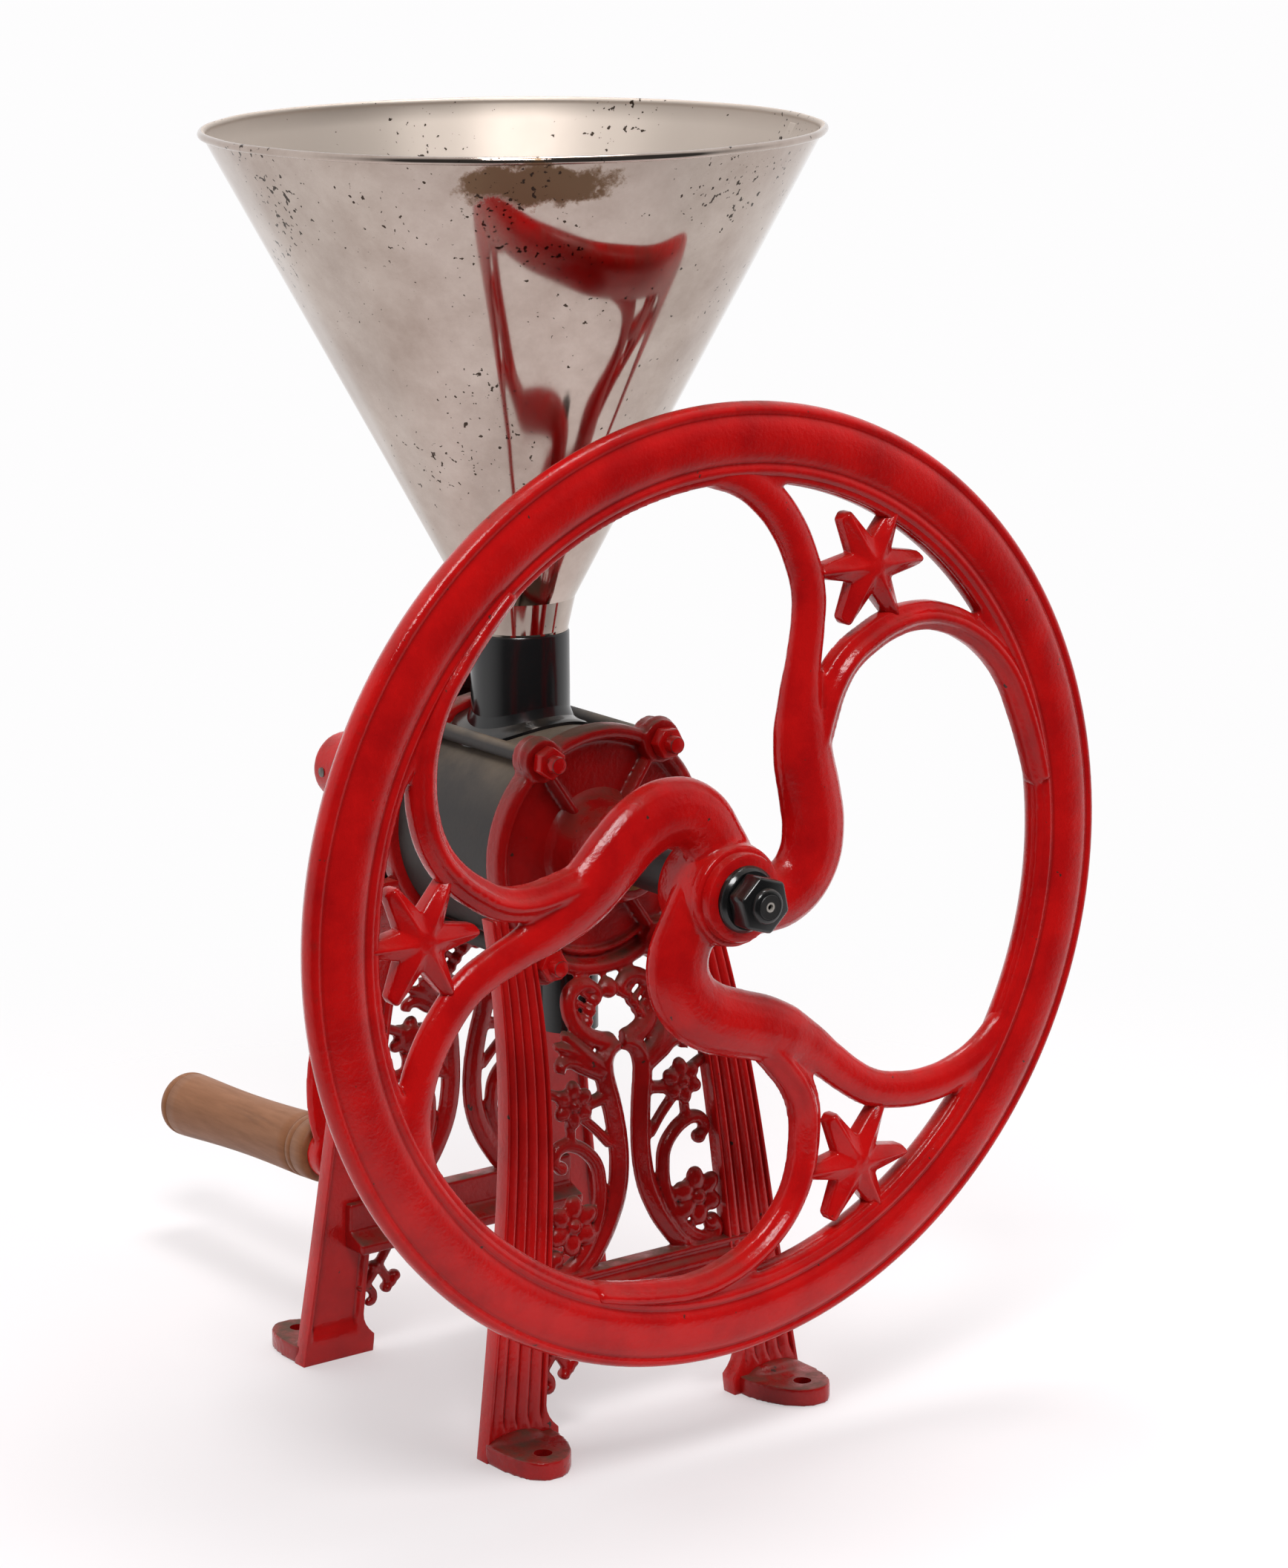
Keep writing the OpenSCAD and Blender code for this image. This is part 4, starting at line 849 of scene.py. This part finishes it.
def makeFrames():
    front = makeStandCasting()
    cutHoles(front)
    leg = makeLeg()
    legs = joinPieces("frontLegs", [leg, mirrored(leg, (1, 0, 0))])
    rear, rearLegs = mirrored(front, (0, 1, 0)), mirrored(legs, (0, 1, 0))
    rear.name, rearLegs.name = "rearCasting", "rearLegs"
    root = [(stand["bushR"], -8), (32, -8), (29.5, -6), (27.5, -3)]  # radius, and how far out from the plate

    def makeBoss(name, side, nose):
        outline = root + nose + [(stand["bushR"], nose[-1][1]), root[0]]
        return lathe(name, [(r, side * (stand["plateFace"] + out)) for r, out in outline], steps=72)

    boss = makeBoss("frontBoss", -1, [(26, 3), (24, 10), (21.5, 17), (19.5, 22), (18.2, 24), (17, 24.5)])
    bossBack = makeBoss("rearBoss", 1, [(26, 8), (25, 17), (24, 22.2), (20, 22.2), (20, 42.5)])
    for node, pieces in (("front_frame", (front, legs, boss)), ("rear_frame", (rear, rearLegs, bossBack))):
        for piece, look in zip(pieces, (redGrimyShaded, redLegs, redGrimyShaded)):
            dress(piece, look, "red_paint", "stand", node)
    print("stand castings made:", len(front.data.polygons), "faces each")


makeFrames()


def makeTieNuts():
    fit = {"seat": stand["plateFace"] + 1, "thick": 7.0, "end": 5.0, "flats": 14.0, "studR": 4.4}
    top = fit["seat"] + fit["thick"]
    tip, studR = top + fit["end"], fit["studR"]
    stud = [(0, top - 1), (studR, top - 1), (studR, tip - 1), (3.8, tip + 0.1), (2.4, tip + 0.5),
            (0, tip + 0.6)]
    for side, name, node in ((-1, "frontTieNuts", "front_tie_nuts"), (1, "rearTieNuts", "rear_tie_nuts")):
        parts = []
        low, high = sorted((side * fit["seat"], side * top))
        for sx, sz in corners:
            x, z = sx * stand["tieX"], axisZ + sz * stand["tieZ"]
            nut = hexNut("tieNut", fit["flats"], low, high, x, z, 1.0)
            nut.data.transform(aboutAxis(17 * sx + 11 * sz, x, z))
            parts += [nut, lathe("studEnd", [(r, side * y) for r, y in stud], steps=24, centre=(x, 0, z))]
        dress(joinPieces(name, parts), red, "red_paint", "stand", node)


makeTieNuts()


# crank arm and grip
def makeCrank():
    arm = {"midY": 152.0, "flat": 0.42, "bore": 9.6, "hubR": 18.0, "hubLow": 142.0, "hubHigh": 180.0,
           "eyeBore": 5.05, "eyeR": 14.0, "eyeLow": 147.0, "eyeHigh": 158.2, "voxel": 1.1}
    along = Vector((gripX, gripRootZ - axisZ))
    length = along.length
    along = along / length
    across = Vector((-along.y, along.x))
    line = [(0, 0), (0.16, 0.06), (0.34, 0.07), (0.52, 0.0), (0.70, -0.05), (0.86, -0.05), (1, 0)]
    path = [(along * a + across * b) * length for a, b in line]
    bar = sweep("armBar", path, [14.5, 13.8, 12.8, 11.8, 10.8, 10, 10], arm["flat"], ring=5, steps=10)
    bar.data.transform(Matrix.Translation(Vector((0, arm["midY"], axisZ)) * mm))
    bore, hubR, low, high = (arm[key] for key in ("bore", "hubR", "hubLow", "hubHigh"))
    hub = lathe("armHub", [(bore, low), (hubR - 1.5, low), (hubR, low + 1.5), (hubR, high - 2),
                           (hubR - 1.5, high), (bore, high), (bore, low)], steps=64)
    bore, eyeR, low, high = (arm[key] for key in ("eyeBore", "eyeR", "eyeLow", "eyeHigh"))
    eye = lathe("armEye", [(bore, low), (eyeR - 1, low), (eyeR, low + 1), (eyeR, high - 1.1),
                           (eyeR - 1, high), (bore, high), (bore, low)],
                steps=56, centre=(gripX, 0, gripRootZ))
    eye.data.transform(gripTip)
    dress(castTogether("crankArm", [bar, hub, eye], arm["voxel"], 4), red, "red_paint", "drive", "crank_arm")


def makeGrip():
    turned = {"bore": 5.1, "inR": 17.0, "outR": 17.5, "waist": 1.4, "cut": 0.9, "band": 10.5, "round": 6.0,
              "inner": 158.8, "long": 146.0}
    y0, y1 = turned["inner"], turned["inner"] + turned["long"]
    near, far = y0 + turned["band"], y1 - turned["band"]

    def groove(radius, y):
        return [(radius, y), (radius - 0.7 * turned["cut"], y + 0.4), (radius - turned["cut"], y + 0.9),
                (radius - 0.7 * turned["cut"], y + 1.4), (radius, y + 1.8)]

    body = []
    for k in range(1, 16):
        t = k / 16
        swell = mix(turned["inR"], turned["outR"], t) - turned["waist"] * math.sin(math.pi * t)
        body.append((swell, mix(near + 7, far, t)))
    dome = [(turned["outR"] - turned["round"] * (1 - math.cos(math.radians(a))),
             y1 - turned["round"] * (1 - math.sin(math.radians(a)))) for a in range(0, 91, 10)]
    bore, inR = turned["bore"], turned["inR"]
    profile = [(bore, y0), (inR - 2.2, y0), (inR - 0.8, y0 + 0.6), (inR, y0 + 2), *groove(inR, near),
               *groove(inR, near + 5), *body, *groove(turned["outR"], far + 1), *dome, (bore, y1),
               (bore, y0)]
    grip = lathe("woodenGrip", profile, steps=72, centre=(gripX, 0, gripRootZ), sharp=60)
    grip.data.transform(gripTip)
    dress(grip, wood, "grip_wood", "grip", "wooden_grip")


makeCrank()
makeGrip()
print("crank and grip made")


# neck tube, with a flange round its foot that lies on the drum
def makeNeck():
    neck = {"radius": 24.4, "wall": 2.4, "apron": 34.0, "sheet": 2.2, "drumR": 56.0}
    low, high, outR, inR = neckLow.z, neckHigh.z, neck["radius"], neck["radius"] - neck["wall"]
    tube = lathe("neckTube", [(inR, low), (outR, low), (outR, high - 1), (outR - 0.6, high), (inR, high),
                              (inR, low)], steps=72, centre=(0, neckY, 0), axis="Z")
    rim, sheet = neck["apron"], neck["sheet"]
    apron = lathe("neckApron", [
        (outR - 0.5, 0.1), (rim, 0.1), (rim, sheet - 0.6), (rim - 0.8, sheet), (outR + 4.5, sheet + 0.2),
        (outR + 2, sheet + 1.2), (outR + 0.6, sheet + 4), (outR - 0.5, sheet + 7), (outR - 0.5, 0.1)],
        steps=72, centre=(0, neckY, 0), axis="Z")
    for vertex in apron.data.vertices:  # the flange follows the round of the drum, up to the end plate
        x = vertex.co.x / mm
        vertex.co.y = min(vertex.co.y, (drumEnd - 0.2) * mm)
        vertex.co.z += (axisZ + math.sqrt(neck["drumR"] ** 2 - x * x)) * mm
    dress(joinPieces("neckTube", [tube, apron]), black, "black_enamel", "stand", "neck_tube")


makeNeck()


# funnel: rolled cone with a wired rim and a lap seam
def makeFunnel():
    cone = {"rimR": 151.0, "bead": 1.9, "seamR": 27.5, "wall": 0.9, "seamTurn": -15.0, "dent": 0.35}
    coneLow, coneHigh = (Vector(corner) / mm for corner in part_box("funnel_cone"))
    z0, z1 = coneLow.z, coneHigh.z - cone["bead"]
    beadR = cone["rimR"] - cone["bead"]
    outer = [(mix(cone["seamR"], beadR - 0.9, k / 30), mix(z0, z1 - 1.6, k / 30)) for k in range(31)]
    bead = [(beadR + cone["bead"] * math.cos(math.radians(d)), z1 + cone["bead"] * math.sin(math.radians(d)))
            for d in range(-110, 200, 20)]
    inner = [(r - cone["wall"], z) for r, z in reversed(outer)]
    sheet = lathe("funnelCone", outer + bead + inner + outer[:1], steps=240, centre=(0, neckY, 0), axis="Z",
                  sharp=50)
    for vertex in sheet.data.vertices:  # hand-rolled sheet is never quite round
        x, y = vertex.co.x / mm, vertex.co.y / mm - neckY
        turn, share = math.atan2(y, x), min((vertex.co.z / mm - z0) / 80, 1)
        ripple = math.sin(7 * turn + 1.1) + 0.7 * math.sin(12 * turn + 2.3) + 0.5 * math.sin(19 * turn)
        scale = 1 + cone["dent"] * (ripple - 2.2) * share / max(math.hypot(x, y), 1)
        vertex.co.x, vertex.co.y = x * scale * mm, (neckY + y * scale) * mm
    lap = block("funnelLap", (-0.5, -4, 0), (0.5, 4, 1))
    turn = math.radians(cone["seamTurn"])
    for vertex in lap.data.vertices:  # the overlap of the sheet, along the slope inside and out
        top = vertex.co.z > mm / 2
        r, z = (beadR - 2.0, z1 - 3) if top else (cone["seamR"] + 0.6, z0 + 2)
        side = vertex.co.y / mm
        reach = r + (0.7 if vertex.co.x > 0 else -1.8)
        vertex.co = Vector((reach * math.cos(turn) - side * math.sin(turn),
                            neckY + reach * math.sin(turn) + side * math.cos(turn), z)) * mm
    applyModifier(lap, "BEVEL", width=0.4 * mm, segments=2)
    funnel = joinPieces("funnelCone", [sheet, lap])
    dress(funnel, tin, "tinplate", "funnel", "funnel_cone", "funnel_rim_wire")


makeFunnel()
print("funnel made")


# camera at the photograph's place
def makeCamera():
    shot = {"place": (-1.275887, -1.813716, 0.840118), "yaw": 0.637821, "pitch": -0.234814,
            "roll": -0.005818, "focalPixels": 6263.354, "centrePixel": (878.08, 1042.925),
            "imageSize": (1736, 2113), "sensor": 36}
    wide, high = shot["imageSize"]
    bpy.ops.object.camera_add()
    camera = bpy.context.object
    turn = (Matrix.Rotation(-shot["yaw"], 4, "Z") @ Matrix.Rotation(math.pi / 2 + shot["pitch"], 4, "X")
            @ Matrix.Rotation(shot["roll"], 4, "Z"))
    camera.matrix_world = Matrix.Translation(shot["place"]) @ turn
    camera.data.sensor_width = shot["sensor"]
    camera.data.lens = shot["focalPixels"] * shot["sensor"] / high
    camera.data.shift_x = (wide / 2 - shot["centrePixel"][0]) / high
    camera.data.shift_y = (shot["centrePixel"][1] - high / 2) / high
    camera.data.clip_end = 50
    bpy.context.scene.camera = camera


def softLight(name, place, aim, size, watts):
    bpy.ops.object.light_add(type="AREA", location=place)
    lamp = named(name)
    lamp.data.shape = "RECTANGLE"
    lamp.data.size, lamp.data.size_y = size
    lamp.data.energy = watts
    lamp.rotation_euler = (Vector(aim) - Vector(place)).to_track_quat("-Z", "Y").to_euler()
    return lamp


def makeFloor():
    # pale near the object, where it keeps the shadow, and fading into the white behind
    tone = {"near": (0.76, 0.735, 0.745, 1), "lift": (0.88, 0.85, 0.86, 1), "liftShare": 0.45,
            "fade": (0.32, 0.85)}
    clearSelection()
    bpy.ops.mesh.primitive_plane_add(size=14)
    floor = named("paleFloor")
    material, tree, shader = newMaterial("pale_floor", BaseColor=tone["near"], Roughness=0.85,
                                         SpecularIORLevel=0.1)
    lift, path = newNode(tree, "Emission", Color=tone["lift"]), newNode(tree, "LightPath")
    seen, share = mathNode(tree, "MAXIMUM"), mathNode(tree, "MULTIPLY", tone["liftShare"])
    length, far = vectorNode(tree, "LENGTH"), rampNode(tree, *tone["fade"])
    far.interpolation_type = "SMOOTHSTEP"
    pale, blend = newNode(tree, "MixShader"), newNode(tree, "MixShader")
    # what the camera and shiny metal see of it is lifted a little
    wire(tree, (path.outputs["Is Camera Ray"], seen), (path.outputs["Is Glossy Ray"], seen.inputs[1]),
         (seen, share), (share, pale), (shader, pale.inputs[1]), (lift, pale.inputs[2]))
    wire(tree, (newNode(tree, "TexCoord").outputs["Object"], length), (length.outputs["Value"], far),
         (far, blend), (pale, blend.inputs[1]), (newNode(tree, "BsdfTransparent"), blend.inputs[2]),
         (blend, tree.nodes["Material Output"]))
    floor.data.materials.append(material)


def makeStudio():
    # a bright backdrop behind and a darker room in front, with white where the camera looks
    room = {"light": (1.0, 0.99, 0.985, 1), "white": (0.985, 0.98, 0.985, 1), "front": (-0.3, -0.95, 0.0),
            "turn": (-0.35, 0.55), "strength": (1.1, 0.06)}
    world = bpy.data.worlds.new("studioWorld")
    bpy.context.scene.world = world
    world.use_nodes = True
    tree = world.node_tree
    light = setInputs(tree.nodes["Background"], Color=room["light"])
    white, path = newNode(tree, "Background", Color=room["white"]), newNode(tree, "LightPath")
    facing, blend = vectorNode(tree, "DOT_PRODUCT", room["front"]), newNode(tree, "MixShader")
    wire(tree, (newNode(tree, "TexCoord").outputs["Generated"], facing))
    strength = through(tree, facing.outputs["Value"], *room["turn"], *room["strength"])
    behind = through(tree, facing.outputs["Value"], *reversed(room["turn"]))
    mirror, shown, seen = mathNode(tree, "MAXIMUM"), mathNode(tree, "MULTIPLY"), mathNode(tree, "MAXIMUM")
    # metal shows the white backdrop too, but not in the dark room in front
    wire(tree, (path.outputs["Is Glossy Ray"], mirror), (mirror, shown), (behind, shown.inputs[1]),
         (path.outputs["Is Transmission Ray"], mirror.inputs[1]), (shown, seen.inputs[1]),
         (path.outputs["Is Camera Ray"], seen), (seen, blend), (strength, light.inputs["Strength"]),
         (light, blend.inputs[1]), (white, blend.inputs[2]), (blend, tree.nodes["World Output"]))
    softLight("keyLight", (-1.1, -1.5, 2.7), (0, 0, 0.3), (1.0, 1.0), 67)
    fill = softLight("fillLight", (1.5, -2.2, 1.4), (0, 0, 0.3), (1.6, 1.6), 27)
    fill.visible_glossy = False  # fills the shade without a veil over the gloss
    softLight("topLight", (0.5, 0.4, 3.0), (0, 0, 0.2), (0.9, 0.9), 42)


makeCamera()
makeFloor()
makeStudio()
bpy.context.scene.view_settings.view_transform = "Standard"
print("camera, floor and lights made")
